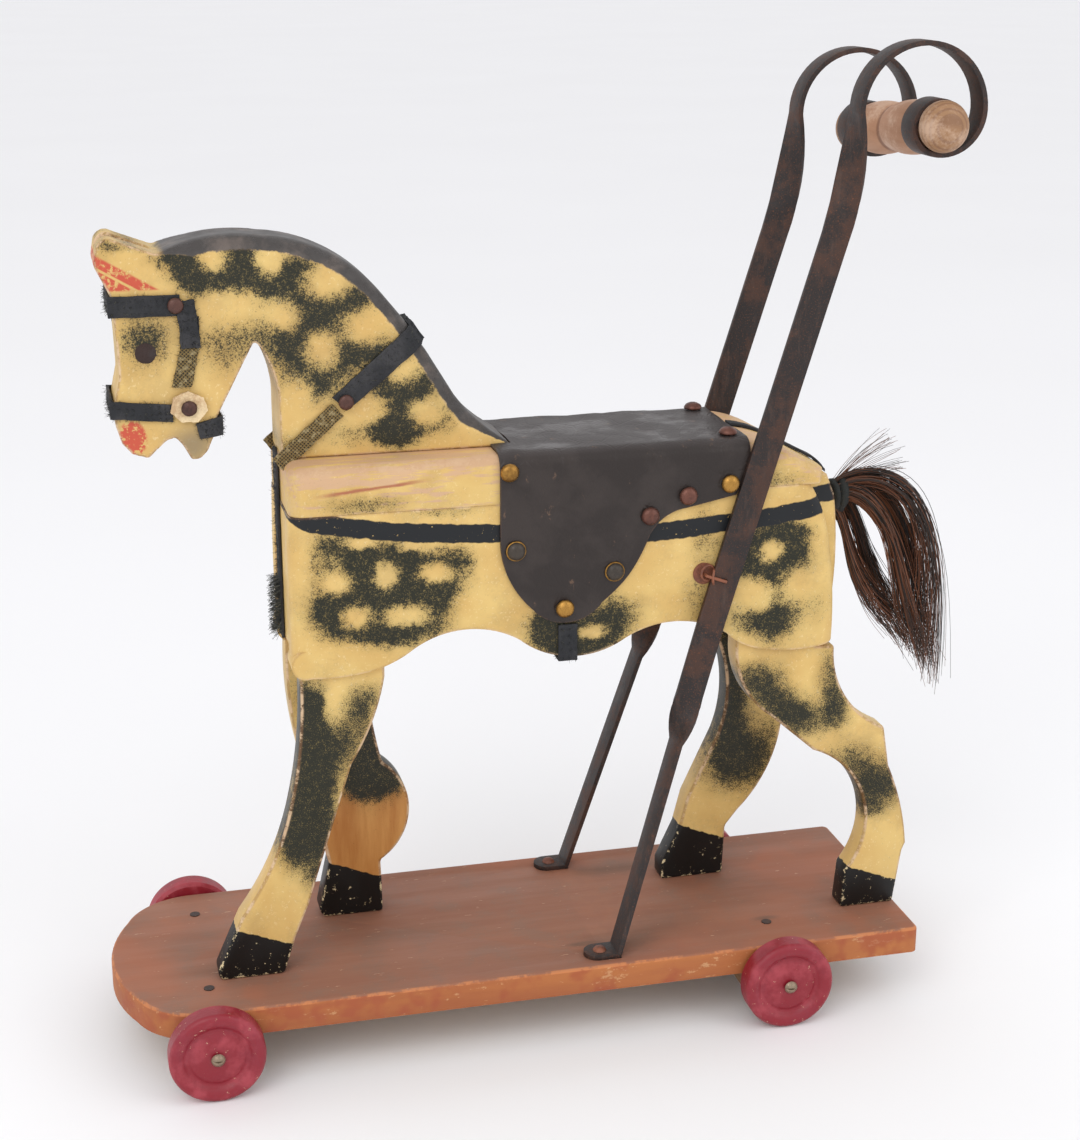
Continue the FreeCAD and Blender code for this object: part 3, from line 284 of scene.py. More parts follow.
class Graph:
    """Short ways to add shader nodes and join them."""

    def __init__(self, tree):
        self.tree = tree

    def feed(self, socket, value):
        if isinstance(value, bpy.types.NodeSocket):
            self.tree.links.new(value, socket)
        elif hasattr(value, "__len__") and len(value) == 3 and len(socket.default_value) == 4:
            socket.default_value = (*value, 1)
        else:
            socket.default_value = value

    def node(self, kind, inputs, **settings):
        node = self.tree.nodes.new("ShaderNode" + kind)
        for key, value in settings.items():
            setattr(node, key, value)
        for key, value in inputs.items():
            self.feed(node.inputs[key], value)
        return node

    def math(self, operation, *values, clamp=False):
        node = self.node("Math", dict(enumerate(values)), operation=operation, use_clamp=clamp)
        return node.outputs[0]

    def vector(self, operation, *values):
        node = self.node("VectorMath", dict(enumerate(values)), operation=operation)
        return node.outputs["Value" if operation in ("LENGTH", "DOT_PRODUCT") else "Vector"]

    def ramp(self, value, low, high, to_low=0.0, to_high=1.0):
        """Rise smoothly from to_low to to_high while the value goes from low to high."""
        limits = {"From Min": low, "From Max": high, "To Min": to_low, "To Max": to_high}
        node = self.node("MapRange", {"Value": value, **limits}, interpolation_type="SMOOTHSTEP")
        return node.outputs["Result"]

    def noise(self, place, scale, detail=2.0, roughness=0.5):
        inputs = {"Vector": place, "Scale": scale, "Detail": detail, "Roughness": roughness}
        return self.node("TexNoise", inputs).outputs["Fac"]

    def mix(self, share, first, second):
        node = self.node("Mix", {0: share, 6: first, 7: second}, data_type="RGBA")
        return node.outputs[2]

    def tint(self, colour, mask, strength, other):
        """Another colour laid over a first where a mask is, at a strength."""
        return self.mix(self.math("MULTIPLY", mask, strength), colour, other)

    def split(self, vector):
        return self.node("SeparateXYZ", {0: vector}).outputs

    def place(self):
        return self.node("TexCoord", {}).outputs["Object"]

    def stretched(self, place, stretch):
        return self.vector("MULTIPLY", place, stretch)

    def group(self, name, **inputs):
        node = self.tree.nodes.new("ShaderNodeGroup")
        node.node_tree = bpy.data.node_groups[name]
        for key, value in inputs.items():
            self.feed(node.inputs[key], value)
        return node.outputs

    def bump(self, height, distance, strength=1.0):
        inputs = {"Height": height, "Distance": distance, "Strength": strength}
        return self.node("Bump", inputs).outputs["Normal"]


def shader_group(name, inputs, outputs, fill):
    """A node group. fill takes the graph and the input sockets and returns the output values."""
    tree = bpy.data.node_groups.new(name, "ShaderNodeTree")
    for side, sockets in (("INPUT", inputs), ("OUTPUT", outputs)):
        for label, kind in sockets.items():
            tree.interface.new_socket(label, in_out=side, socket_type="NodeSocket" + kind)
    graph = Graph(tree)
    made = fill(graph, tree.nodes.new("NodeGroupInput").outputs)
    end = tree.nodes.new("NodeGroupOutput")
    for label, value in made.items():
        graph.feed(end.inputs[label], value)


def fill_soft_spot(g, given):
    """An oval spot in the XZ plane that fades at its rim."""
    offset = g.vector("SUBTRACT", given["Place"], given["Centre"])
    away = g.vector("LENGTH", g.vector("MULTIPLY", offset, given["Shrink"]))
    return {"Cover": g.math("MULTIPLY", g.ramp(away, 2.1, 0.15), given["Strength"])}


def fill_stipple(g, given):
    """Dabbed paint: specks that close up as the density rises."""
    fine = g.noise(given["Place"], 1150, 3, 0.75)
    broad = g.noise(given["Place"], 260, 2, 0.6)
    level = g.math("ADD", given["Density"], g.math("MULTIPLY_ADD", fine, 2.2, -1.1))
    level = g.math("ADD", level, g.math("MULTIPLY_ADD", broad, 0.7, -0.35))
    return {"Mask": g.ramp(level, 0.28, 0.86)}


def fill_edge_wear(g, given):
    """Edges and rounded corners where paint rubs off first, broken up by noise."""
    normal = g.node("NewGeometry", {}).outputs["Normal"]
    rounded = g.node("Bevel", {"Radius": given["Radius"]}, samples=4).outputs["Normal"]
    sharp = g.math("SUBTRACT", 1.0, g.vector("DOT_PRODUCT", normal, rounded))
    across = g.math("ABSOLUTE", g.split(normal)[1])
    slope = g.math("MINIMUM", across, g.math("SQRT", g.math("SUBTRACT", 1.0, g.math("POWER", across, 2.0))))
    slope = g.math("MULTIPLY", g.ramp(slope, 0.12, 0.5), given["Rounded"])
    edge = g.math("MAXIMUM", g.ramp(sharp, 0.01, 0.12), slope)
    patches = g.noise(given["Place"], 90, 4, 0.65)
    flakes = g.noise(given["Place"], 700, 3, 0.7)
    level = g.math("ADD", g.math("MULTIPLY", patches, 0.7), g.math("MULTIPLY", flakes, 0.3))
    level = g.math("ADD", level, given["Amount"])
    return {"Mask": g.math("MULTIPLY", edge, g.ramp(level, 0.5, 0.6)), "Edge": edge}


def fill_grain(g, given):
    """Wood grain: long streaks along the stretched direction."""
    place = g.vector("MULTIPLY", given["Place"], given["Stretch"])
    wander = g.noise(place, 14, 2, 0.5)
    lines = g.noise(place, 60, 5, 0.65)
    streak = g.math("ADD", g.math("MULTIPLY", wander, 0.45), g.math("MULTIPLY", lines, 0.55))
    return {"Streak": g.ramp(streak, 0.32, 0.68), "Height": lines}


def fill_grime(g, given):
    """Soft blotches of dirt with fine specks in them."""
    blotch = g.noise(given["Place"], 34, 3, 0.6)
    specks = g.noise(given["Place"], 520, 2, 0.6)
    level = g.math("ADD", g.math("MULTIPLY", blotch, 0.75), g.math("MULTIPLY", specks, 0.25))
    return {"Mask": g.ramp(level, 0.46, 0.64), "Specks": g.ramp(specks, 0.6, 0.72)}


def fill_rust(g, given):
    """Patches of rust on dark iron, and pits."""
    patches = g.noise(given["Place"], 42, 5, 0.7)
    pits = g.noise(given["Place"], 900, 3, 0.7)
    return {
        "Mask": g.ramp(patches, 0.45, 0.62),
        "Height": g.math("ADD", g.math("MULTIPLY", patches, 0.5), g.math("MULTIPLY", pits, 0.5)),
        "Pits": g.ramp(pits, 0.55, 0.7),
    }


def fill_hide(g, given):
    """Leather: pebbled grain, fine cracks, and rubbed patches that shine."""
    cells = g.node("TexVoronoi", {"Vector": given["Place"], "Scale": 620.0}).outputs["Distance"]
    creases = g.node(
        "TexVoronoi", {"Vector": given["Place"], "Scale": 55.0}, feature="DISTANCE_TO_EDGE"
    ).outputs["Distance"]
    rub = g.noise(given["Place"], 26, 4, 0.6)
    cracks = g.math("MULTIPLY", g.ramp(creases, 0.0, 0.06), 0.3)
    height = g.math("ADD", g.math("MULTIPLY", cells, 0.35), cracks)
    return {"Rub": g.ramp(rub, 0.44, 0.66), "Height": g.math("ADD", height, g.math("MULTIPLY", rub, 0.6))}


def fill_braid(g, given):
    """Two sets of slanting threads that cross."""
    parts = g.split(given["Place"])
    rising = g.math("SINE", g.math("MULTIPLY", g.math("ADD", parts[0], parts[2]), 2600.0))
    falling = g.math("SINE", g.math("MULTIPLY", g.math("SUBTRACT", parts[0], parts[2]), 2600.0))
    height = g.math("MAXIMUM", rising, falling)
    return {"Height": height, "Gap": g.ramp(height, 0.5, -0.1)}


def make_shader_groups():
    spot = {"Place": "Vector", "Centre": "Vector", "Shrink": "Vector", "Strength": "Float"}
    shader_group("Soft Spot", spot, {"Cover": "Float"}, fill_soft_spot)
    shader_group("Stipple", {"Place": "Vector", "Density": "Float"}, {"Mask": "Float"}, fill_stipple)
    wear = {"Place": "Vector", "Radius": "Float", "Amount": "Float", "Rounded": "Float"}
    shader_group("Edge Wear", wear, {"Mask": "Float", "Edge": "Float"}, fill_edge_wear)
    grain = {"Place": "Vector", "Stretch": "Vector"}
    shader_group("Grain", grain, {"Streak": "Float", "Height": "Float"}, fill_grain)
    shader_group("Grime", {"Place": "Vector"}, {"Mask": "Float", "Specks": "Float"}, fill_grime)
    rust = {"Mask": "Float", "Height": "Float", "Pits": "Float"}
    shader_group("Rust", {"Place": "Vector"}, rust, fill_rust)
    shader_group("Hide", {"Place": "Vector"}, {"Rub": "Float", "Height": "Float"}, fill_hide)
    shader_group("Braid", {"Place": "Vector"}, {"Height": "Float", "Gap": "Float"}, fill_braid)


def new_material(name, recipe, **constants):
    """A material whose recipe gives the shader's varying inputs. Constants are set as they are."""
    material = bpy.data.materials.new(name)
    material.use_nodes = True
    graph = Graph(material.node_tree)
    shader = material.node_tree.nodes["Principled BSDF"]
    for key, value in constants.items():
        shader.inputs[key.replace("_", " ")].default_value = value
    for key, value in recipe(graph, graph.place()).items():
        graph.feed(shader.inputs[key], value)
    return material


def surface(g, colour, rough, height, distance, strength):
    """What a recipe gives back for a surface with relief."""
    return {"Base Color": colour, "Roughness": rough, "Normal": g.bump(height, distance, strength)}


# ---------------------------------------------------------------- the horse's paint

# Dapples: X and Z of the centre, half width, half height (mm), strength.
NECK_DARK = (
    (-232, 536, 11, 10, 1), (-221, 524, 11, 9, 0.9), (-198, 537, 10, 12, 1), (-195, 525, 12, 9, 0.95),
    (-165, 530, 11, 9, 1), (-173, 518, 17, 10, 0.95), (-131, 510, 12, 9, 1), (-151, 502, 20, 13, 0.9),
    (-139, 488, 16, 12, 0.9), (-162, 486, 17, 15, 0.7), (-160, 466, 15, 14, 0.65),
    (-133, 475, 14, 11, 0.85), (-112, 477, 13, 9, 0.7), (-101, 440, 13, 20, 0.95),
    (-111, 451, 11, 8, 0.8), (-90, 454, 13, 10, 0.9), (-99, 424, 14, 8, 0.8), (-211, 485, 14, 14, 0.6),
    (-259, 493, 12, 9, 0.8), (-154, 456, 19, 10, 0.5), (-185, 490, 12, 14, 0.5),
    (-171, 419, 12, 6, 0.45), (-128, 424, 19, 7, 0.45), (-205, 541, 8, 5, 0.35), (-74, 430, 8, 9, 0.6),
    (-264, 549, 16, 3, 0.5), (-244, 540, 10, 4, 0.5), (-281, 548, 5, 5, 0.4), (-262, 480, 16, 9, 0.3),
)
NECK_LIGHT = (
    (-216, 539, 7, 6, 1), (-181, 537, 7, 7, 1), (-146, 521, 11, 8, 1), (-175, 502, 9, 8, 1),
    (-122, 493, 12, 9, 1), (-150, 479, 9, 10, 1), (-99, 465, 10, 8, 1), (-84, 435, 9, 7, 1),
    (-127, 441, 13, 8, 1), (-207, 509, 16, 8, 1), (-168, 446, 9, 13, 1),
)
HEAD_DIRT = ((-234, 422, 12, 10, 1), (-284, 437, 4, 10, 0.8))
LIP = ((-271, 428, 7, 9, 1),)
BODY_DARK = (
    (-135, 336, 9, 14, 1), (-104, 334, 10, 16, 1), (-123, 349, 16, 8, 0.85), (-115, 320, 15, 8, 0.85),
    (-89, 322, 12, 11, 0.9), (-79, 343, 16, 8, 0.75), (-156, 346, 9, 16, 0.6), (-144, 315, 20, 15, 0.7),
    (-120, 305, 16, 13, 0.65), (-153, 312, 11, 12, 0.65), (-126, 297, 20, 8, 0.6),
    (-85, 310, 11, 13, 0.75), (-99, 293, 18, 7, 0.55), (-69, 331, 8, 11, 0.5), (-145, 359, 13, 7, 0.5),
    (-131, 386, 17, 5, 0.45), (-79, 376, 21, 4, 0.4),
    (-1, 284, 17, 14, 1), (34, 294, 15, 12, 1), (20, 276, 19, 9, 0.85), (-11, 293, 9, 9, 0.8),
    (144, 343, 20, 10, 0.9), (159, 332, 13, 14, 0.85), (135, 322, 14, 9, 0.95), (156, 319, 14, 9, 0.9),
    (153, 291, 11, 19, 0.75), (98, 347, 8, 16, 0.5), (94, 303, 8, 14, 0.45), (129, 286, 10, 10, 0.65),
    (147, 279, 12, 9, 0.55), (176, 291, 11, 11, 0.35), (121, 335, 10, 10, 0.6),
)
BACK_DARK = ((-131, 383, 20, 5, 0.55), (140, 381, 20, 6, 0.5))
BODY_LIGHT = (
    (-150, 332, 8, 6, 1), (-117, 335, 6, 7, 1), (-85, 334, 9, 5, 1), (-137, 308, 8, 6, 1),
    (-104, 307, 12, 6, 1), (-133, 358, 7, 3, 1), (-100, 354, 6, 3, 1), (21, 285, 8, 4, 1),
    (146, 332, 7, 6, 1), (135, 301, 9, 9, 1), (168, 307, 11, 10, 1),
)
LEG_DARK = {
    "front_leg_left": (
        (-170, 252, 8, 14, 0.95), (-171, 230, 11, 20, 0.95), (-168, 204, 11, 20, 0.9),
        (-172, 181, 11, 16, 0.8), (-168, 152, 16, 21, 1), (-131, 249, 10, 11, 0.65),
        (-141, 229, 10, 16, 0.65), (-154, 208, 10, 19, 0.6), (-186, 158, 9, 18, 0.6),
        (-163, 124, 12, 9, 0.45),
    ),
    "front_leg_right": (
        (-119, 180, 22, 27, 1), (-117, 157, 18, 10, 0.85), (-129, 200, 14, 15, 0.9),
        (-146, 232, 20, 24, 0.7),
    ),
    "rear_leg_left": (
        (141, 238, 16, 11, 0.95), (158, 218, 16, 10, 0.9), (176, 204, 15, 10, 0.8),
        (196, 234, 9, 22, 0.7), (202, 209, 8, 13, 0.55), (233, 152, 22, 15, 1),
        (211, 175, 14, 10, 0.6), (226, 131, 15, 6, 0.5),
    ),
    "rear_leg_right": (
        (146, 232, 13, 28, 1), (150, 191, 13, 20, 0.85), (157, 142, 22, 16, 1),
        (147, 163, 13, 15, 0.7), (177, 166, 11, 13, 0.55), (190, 236, 14, 20, 0.7),
    ),
}
# Where each hoof's black begins: X, Z (mm) of a point on the line, which falls towards the heel.
HOOF_LINE = {
    "front_leg_left": (-203, 84),
    "front_leg_right": (-131, 91),
    "rear_leg_left": (235, 80),
    "rear_leg_right": (128, 92),
}
HOOF_FALL = 0.4
# Middle of the painted stripe: X, Z (mm).
STRIPE = (
    (-182, 384), (-177, 380), (-171, 376), (-162, 372.5), (-150, 370.5), (-139, 368.5), (-105, 363),
    (-44, 358), (8, 353), (61, 351), (110, 354), (142, 356), (171, 360), (190, 363),
)
STRIPE_HALF = 6.3


def spots_cover(g, place, spots, spread=1.0):
    """How much of a set of oval spots covers each point."""
    total = None
    for across, up, half_width, half_height, strength in spots:
        cover = g.group(
            "Soft Spot", Place=place, Centre=(across * MM, 0, up * MM),
            Shrink=(1 / (half_width * spread * MM), 0, 1 / (half_height * spread * MM)), Strength=strength,
        )["Cover"]
        total = cover if total is None else g.math("ADD", total, cover, clamp=True)
    return total


def band(g, value, middle, half, soft):
    """One inside a band round the middle, fading over a soft rim."""
    return g.ramp(g.math("ABSOLUTE", g.math("SUBTRACT", value, middle)), half + soft, half - soft)


def ground_coat(g, place, paint, stretch):
    """Aged cream paint over wood, with grime."""
    yellowed = g.ramp(g.noise(place, 22, 3, 0.6), 0.35, 0.7)
    colour = g.tint(paint.cream, yellowed, 0.5, paint.amber)
    grain = g.group("Grain", Place=place, Stretch=stretch)
    colour = g.tint(colour, grain["Streak"], 0.22, tone(206, 160, 100))
    grime = g.group("Grime", Place=place)
    colour = g.tint(colour, grime["Mask"], 0.2, tone(138, 112, 74))
    return g.tint(colour, grime["Specks"], 0.35, tone(250, 228, 176)), grain


def stipple_over(g, place, paint, colour, dark, light):
    """Dab the dark paint over a colour, leaving the light spots."""
    drift = g.node("TexNoise", {"Vector": place, "Scale": 120.0, "Detail": 2.0}).outputs["Color"]
    shift = g.vector("SCALE", g.vector("SUBTRACT", drift, (0.5, 0.5, 0.5)))
    shift.node.inputs["Scale"].default_value = 0.009
    moved = g.vector("ADD", place, shift)
    density = spots_cover(g, moved, dark)
    if light:
        bare = g.math("SUBTRACT", 1.0, spots_cover(g, moved, light))
        density = g.math("MULTIPLY", density, g.math("MAXIMUM", bare, 0.04))
    density = g.math("MULTIPLY", density, 0.93)
    haze = g.tint(colour, density, 0.72, tone(96, 88, 42))
    mask = g.group("Stipple", Place=place, Density=density)["Mask"]
    return g.tint(haze, mask, 0.985, paint.dapple)


def shaded_and_worn_edges(g, place, paint, colour, amount, rounded=1.0):
    wear = g.group("Edge Wear", Place=place, Radius=0.003, Amount=amount, Rounded=rounded)
    # Painted shade and grime: every sharp edge, crease and rounded corner is darkened brown, before the
    # bare-wood wear is laid over it.
    colour = g.tint(colour, wear["Edge"], 0.45, tone(138, 96, 62))
    bare = g.mix(g.noise(place, 160, 3), paint.raw_wood, tone(236, 214, 178))
    return g.tint(colour, wear["Mask"], 0.85, bare), wear


def painted_finish(g, colour, grain, wear, gloss=0.42):
    """Roughness and bump shared by all the painted wood."""
    height = g.math("MULTIPLY_ADD", grain["Height"], 0.5, g.math("MULTIPLY", wear["Mask"], -0.8))
    rough = g.ramp(grain["Height"], 0.3, 0.8, gloss, gloss + 0.2)
    return {
        "Base Color": colour,
        "Roughness": g.math("MAXIMUM", rough, g.math("MULTIPLY", wear["Mask"], 0.75)),
        "Normal": g.bump(height, 0.0006, 0.6),
    }


def body_paint(paint):
    """Side boards: dapples, and the dark stripe below the seam."""

    def recipe(g, place):
        colour, grain = ground_coat(g, place, paint, (0.25, 1, 1))
        colour = stipple_over(g, place, paint, colour, BODY_DARK, BODY_LIGHT)
        across, _, up = g.split(place)[:]
        reach = (STRIPE[0][0], STRIPE[-1][0])
        low, high = 340, 410
        curve = g.node(
            "FloatCurve", {"Value": g.math("MULTIPLY_ADD", across, 1000 / (reach[1] - reach[0]),
                                           -reach[0] / (reach[1] - reach[0]))}
        )
        points = curve.mapping.curves[0].points
        for i, (at, height) in enumerate(STRIPE):
            spot = ((at - reach[0]) / (reach[1] - reach[0]), (height - low) / (high - low))
            if i < 2:
                points[i].location = spot
            else:
                points.new(*spot)
        curve.mapping.update()
        middle = g.math("MULTIPLY_ADD", curve.outputs[0], (high - low) * MM, low * MM)
        wobble = g.math("MULTIPLY_ADD", g.noise(place, 160, 3), 0.003, -0.0015)
        stripe = band(g, g.math("ADD", up, wobble), middle, STRIPE_HALF * MM, 0.5 * MM)
        worn = g.ramp(g.noise(place, 420, 4, 0.7), 0.66, 0.72)
        stripe = g.math("MULTIPLY", stripe, g.math("SUBTRACT", 1.0, worn))
        colour = g.mix(stripe, colour, tone(28, 30, 33))
        colour, wear = shaded_and_worn_edges(g, place, paint, colour, 0.05, 0.0)
        return painted_finish(g, colour, grain, wear)

    return new_material("body_paint", recipe, Specular_IOR_Level=0.3)


def back_paint(paint):
    """The slab on top: cream rubbed down to streaky pink-brown wood."""

    def recipe(g, place):
        colour, grain = ground_coat(g, place, paint, (0.2, 1, 1))
        across, _, up = g.split(place)[:]
        long_way = g.noise(g.stretched(place, (0.12, 1, 1)), 240, 4, 0.7)
        higher = g.ramp(up, 0.384, 0.408, 0.0, 0.16)
        bare = g.ramp(g.math("ADD", long_way, higher), 0.55, 0.64)
        colour = g.tint(colour, bare, 0.75, tone(205, 166, 138))
        tilt = g.math("MULTIPLY_ADD", across, 0.09, 0.4045)
        ragged = g.math("ADD", up, g.math("MULTIPLY_ADD", long_way, 0.004, -0.002))
        gash = band(g, ragged, tilt, 0.0011, 0.0008)
        gash = g.math("MULTIPLY", gash, band(g, across, -0.125, 0.03, 0.012))
        colour = g.tint(colour, gash, 0.85, tone(164, 92, 74))
        colour = stipple_over(g, place, paint, colour, BACK_DARK, ())
        colour, wear = shaded_and_worn_edges(g, place, paint, colour, 0.06, 0.3)
        return painted_finish(g, colour, grain, wear, 0.5)

    return new_material("back_paint", recipe, Specular_IOR_Level=0.3)


def head_paint(paint):
    """Neck and head: dapples, the dark mane, red ears and lips."""

    def recipe(g, place):
        colour, grain = ground_coat(g, place, paint, (1, 1, 0.35))
        colour = stipple_over(g, place, paint, colour, NECK_DARK, NECK_LIGHT)
        across, _, up = g.split(place)[:]
        dirt = spots_cover(g, place, HEAD_DIRT)
        colour = g.tint(colour, dirt, 0.75, tone(122, 110, 92))
        rubbed = g.ramp(g.noise(place, 300, 4, 0.7), 0.36, 0.5)
        lip = g.math("MULTIPLY", spots_cover(g, place, LIP), rubbed)
        colour = g.mix(g.ramp(lip, 0.25, 0.5), colour, paint.red)
        slant = g.math("MULTIPLY_ADD", across, 0.6, up)
        before = g.ramp(g.math("MULTIPLY_ADD", across, 1.45, up), 0.1655, 0.1625)
        ear = g.math("MULTIPLY", g.ramp(up, 0.5205, 0.5222), before)
        ear = g.math("MULTIPLY", ear, g.ramp(slant, 0.3725, 0.3705))
        fold = band(g, slant, 0.3635, 0.0009, 0.0005)
        ear = g.math("MULTIPLY", g.math("MULTIPLY", ear, rubbed), g.math("SUBTRACT", 1.0, fold))
        colour = g.mix(ear, colour, paint.red)
        normal = g.split(g.node("NewGeometry", {}).outputs["Normal"])
        flat_side = g.math("ABSOLUTE", normal[1])
        ragged = g.math("MULTIPLY_ADD", g.noise(place, 200, 4, 0.7), 0.1, -0.05)
        crest = g.ramp(g.math("ADD", flat_side, ragged), 0.985, 0.955)
        facing = g.math("ADD", g.math("MULTIPLY", normal[0], 0.7), g.math("MULTIPLY", normal[2], 0.7))
        crest = g.math("MULTIPLY", crest, g.ramp(facing, 0.02, 0.12))
        crest = g.math("MULTIPLY", crest, g.ramp(across, -0.2495, -0.2445))
        above_jaw = g.math("MAXIMUM", g.ramp(up, 0.5, 0.505), g.ramp(across, -0.17, -0.165))
        crest = g.math("MULTIPLY", crest, above_jaw)
        rubbed_mane = g.mix(g.ramp(g.noise(place, 60, 4, 0.6), 0.45, 0.75), paint.mane, tone(104, 94, 88))
        colour, wear = shaded_and_worn_edges(g, place, paint, colour, 0.05)
        colour = g.mix(crest, colour, rubbed_mane)
        return painted_finish(g, colour, grain, wear)

    return new_material("head_paint", recipe, Specular_IOR_Level=0.35)


def leg_paint(paint, leg):
    """One leg: its dapples, and the black hoof with chips."""

    def recipe(g, place):
        colour, grain = ground_coat(g, place, paint, (1, 1, 0.25))
        across, _, up = g.split(place)[:]
        if leg == "front_leg_right":
            streaks = g.group("Grain", Place=place, Stretch=(1, 1, 0.12))["Streak"]
            varnish = g.mix(streaks, tone(214, 160, 92), tone(168, 104, 48))
            colour = g.mix(g.ramp(up, 0.158, 0.148), colour, varnish)
        colour = stipple_over(g, place, paint, colour, LEG_DARK[leg], ())
        colour, wear = shaded_and_worn_edges(g, place, paint, colour, 0.04)
        start, height = HOOF_LINE[leg]
        level = g.math("SUBTRACT", up, (height + start * HOOF_FALL) * MM)
        above = g.math("MULTIPLY_ADD", across, HOOF_FALL, level)
        ragged = g.math("MULTIPLY_ADD", g.noise(place, 240, 3), 0.003, -0.0015)
        hoof = g.ramp(g.math("ADD", above, ragged), 0.0004, -0.0004)
        near_edge = g.math("MULTIPLY", wear["Edge"], 0.1)
        chips = g.ramp(g.math("ADD", g.noise(place, 230, 5, 0.75), near_edge), 0.63, 0.67)
        black = g.mix(chips, paint.hoof, tone(222, 204, 162))
        colour = g.mix(hoof, colour, black)
        return painted_finish(g, colour, grain, wear, 0.36)

    return new_material(leg + "_paint", recipe, Specular_IOR_Level=0.3)


# ---------------------------------------------------------------- other finishes


def board_paint(paint):
    """Faded pink-brown on top, orange-brown and chipped on the edges, bare underneath."""

    def recipe(g, place):
        grain = g.group("Grain", Place=place, Stretch=(0.12, 1, 1))
        grime = g.group("Grime", Place=place)
        normal = g.split(g.node("NewGeometry", {}).outputs["Normal"])
        top = g.tint(paint.top, grain["Streak"], 0.5, tone(132, 86, 66))
        top = g.tint(top, grime["Mask"], 0.45, tone(128, 104, 90))
        top = g.tint(top, g.ramp(g.noise(place, 9, 3, 0.6), 0.5, 0.68), 0.5, tone(168, 100, 70))
        # Painted shade under the horse's belly, neck and head, and two small marks, darken the top.
        shade_and_marks = spots_cover(g, place_on_top(g, place), BOARD_SHADE_AND_MARKS)
        top = g.tint(top, shade_and_marks, 0.5, tone(84, 74, 62))
        scratches = g.ramp(g.noise(g.stretched(place, (0.25, 1, 1)), 420, 3, 0.6), 0.69, 0.73)
        top = g.tint(top, scratches, 0.6, tone(206, 168, 140))
        side = g.mix(grain["Streak"], paint.side, tone(182, 112, 62))
        chips = g.ramp(g.noise(g.stretched(place, (0.4, 1, 1)), 150, 5, 0.75), 0.6, 0.66)
        side = g.tint(side, chips, 0.7, tone(206, 160, 114))
        redder = g.ramp(g.noise(place, 30, 3, 0.6), 0.5, 0.62)
        side = g.tint(side, redder, 0.6, tone(158, 74, 48))
        under = g.mix(grain["Streak"], tone(176, 142, 104), tone(134, 104, 76))
        upward = g.ramp(normal[2], 0.35, 0.8)
        colour = g.mix(upward, side, top)
        colour = g.mix(g.ramp(normal[2], -0.6, -0.9), colour, under)
        rubbed = g.ramp(g.noise(place, 70, 4, 0.7), 0.42, 0.56)
        rim = g.math("MULTIPLY", band(g, normal[2], 0.55, 0.38, 0.08), rubbed)
        colour = g.tint(colour, rim, 0.75, tone(202, 128, 78))
        height = g.math("ADD", grain["Height"], g.math("MULTIPLY", scratches, -0.6))
        rough = g.ramp(grain["Height"], 0.3, 0.7, 0.62, 0.8)
        return surface(g, colour, rough, height, 0.0006, 0.6)

    return new_material("board_paint", recipe)


# Painted shade and marks on the board's top: the large soft patches under the horse's belly, neck and head
# are painted shade, and the two small strong ones are marks. X and Y of the centre, half width, half depth
# (mm), strength.
BOARD_SHADE_AND_MARKS = (
    (70, 56, 26, 9, 0.9), (40, -58, 22, 12, 0.8), (84, -38, 20, 14, 0.6), (-215, -30, 34, 8, 0.7),
    (-250, 20, 26, 16, 0.4), (-100, -10, 40, 12, 0.3), (152, -49, 7, 2.5, 1), (15, -55, 9, 2, 1),
)


def place_on_top(g, place):
    """The place with Y in Z's stead, so that oval spots lie on the board."""
    across, side, _ = g.split(place)[:]
    return g.node("CombineXYZ", {0: across, 2: side}).outputs[0]


def wheel_paint(paint):
    def recipe(g, place):
        grime = g.group("Grime", Place=place)
        colour = g.tint(paint.wheel, grime["Mask"], 0.55, tone(136, 38, 54))
        faded = g.ramp(g.noise(place, 55, 4, 0.65), 0.45, 0.7)
        colour = g.tint(colour, faded, 0.45, tone(190, 84, 94))
        chips = g.ramp(g.noise(place, 210, 5, 0.75), 0.64, 0.68)
        colour = g.tint(colour, chips, 0.8, tone(222, 178, 150))
        height = g.math("MULTIPLY_ADD", chips, -0.8, g.noise(place, 500, 3))
        rough = g.ramp(faded, 0.0, 1.0, 0.42, 0.62)
        return surface(g, colour, rough, height, 0.0004, 0.5)

    return new_material("wheel_paint", recipe)


def plain_wood(name, light, dark, stretch, gloss=0.7):
    def recipe(g, place):
        grain = g.group("Grain", Place=place, Stretch=stretch)
        grime = g.group("Grime", Place=place)
        colour = g.mix(grain["Streak"], light, dark)
        colour = g.tint(colour, grime["Mask"], 0.3, [part * 0.5 for part in dark])
        rough = g.ramp(grain["Height"], 0.3, 0.7, gloss - 0.1, gloss + 0.1)
        return surface(g, colour, rough, grain["Height"], 0.0005, 0.6)

    return new_material(name, recipe)


def grip_wood(finish):
    """Turned wood, dusty and pale, darker in the grooves and on the end grain."""

    def recipe(g, place):
        grain = g.group("Grain", Place=place, Stretch=(1, 0.1, 1))
        grime = g.group("Grime", Place=place)
        colour = g.tint(finish.grip, grain["Streak"], 0.7, tone(146, 100, 70))
        _, side, _ = g.split(place)[:]
        from_middle = g.math("ABSOLUTE", side)
        ends = g.ramp(from_middle, 0.062, 0.068)
        rings = g.math("SINE", g.math("MULTIPLY", from_middle, 2400.0))
        knob = g.mix(g.ramp(rings, -0.2, 1.0), tone(146, 110, 74), tone(118, 84, 56))
        colour = g.tint(colour, ends, 0.75, knob)
        groove = g.ramp(from_middle, 0.0034, 0.0012)
        colour = g.tint(colour, groove, 0.7, tone(112, 68, 42))
        dust = g.math("MULTIPLY", grime["Mask"], 0.5)
        colour = g.mix(dust, colour, tone(216, 186, 162))
        rough = g.ramp(grain["Height"], 0.3, 0.7, 0.48, 0.66)
        return surface(g, colour, rough, grain["Height"], 0.0004, 0.6)

    return new_material("grip_wood", recipe)


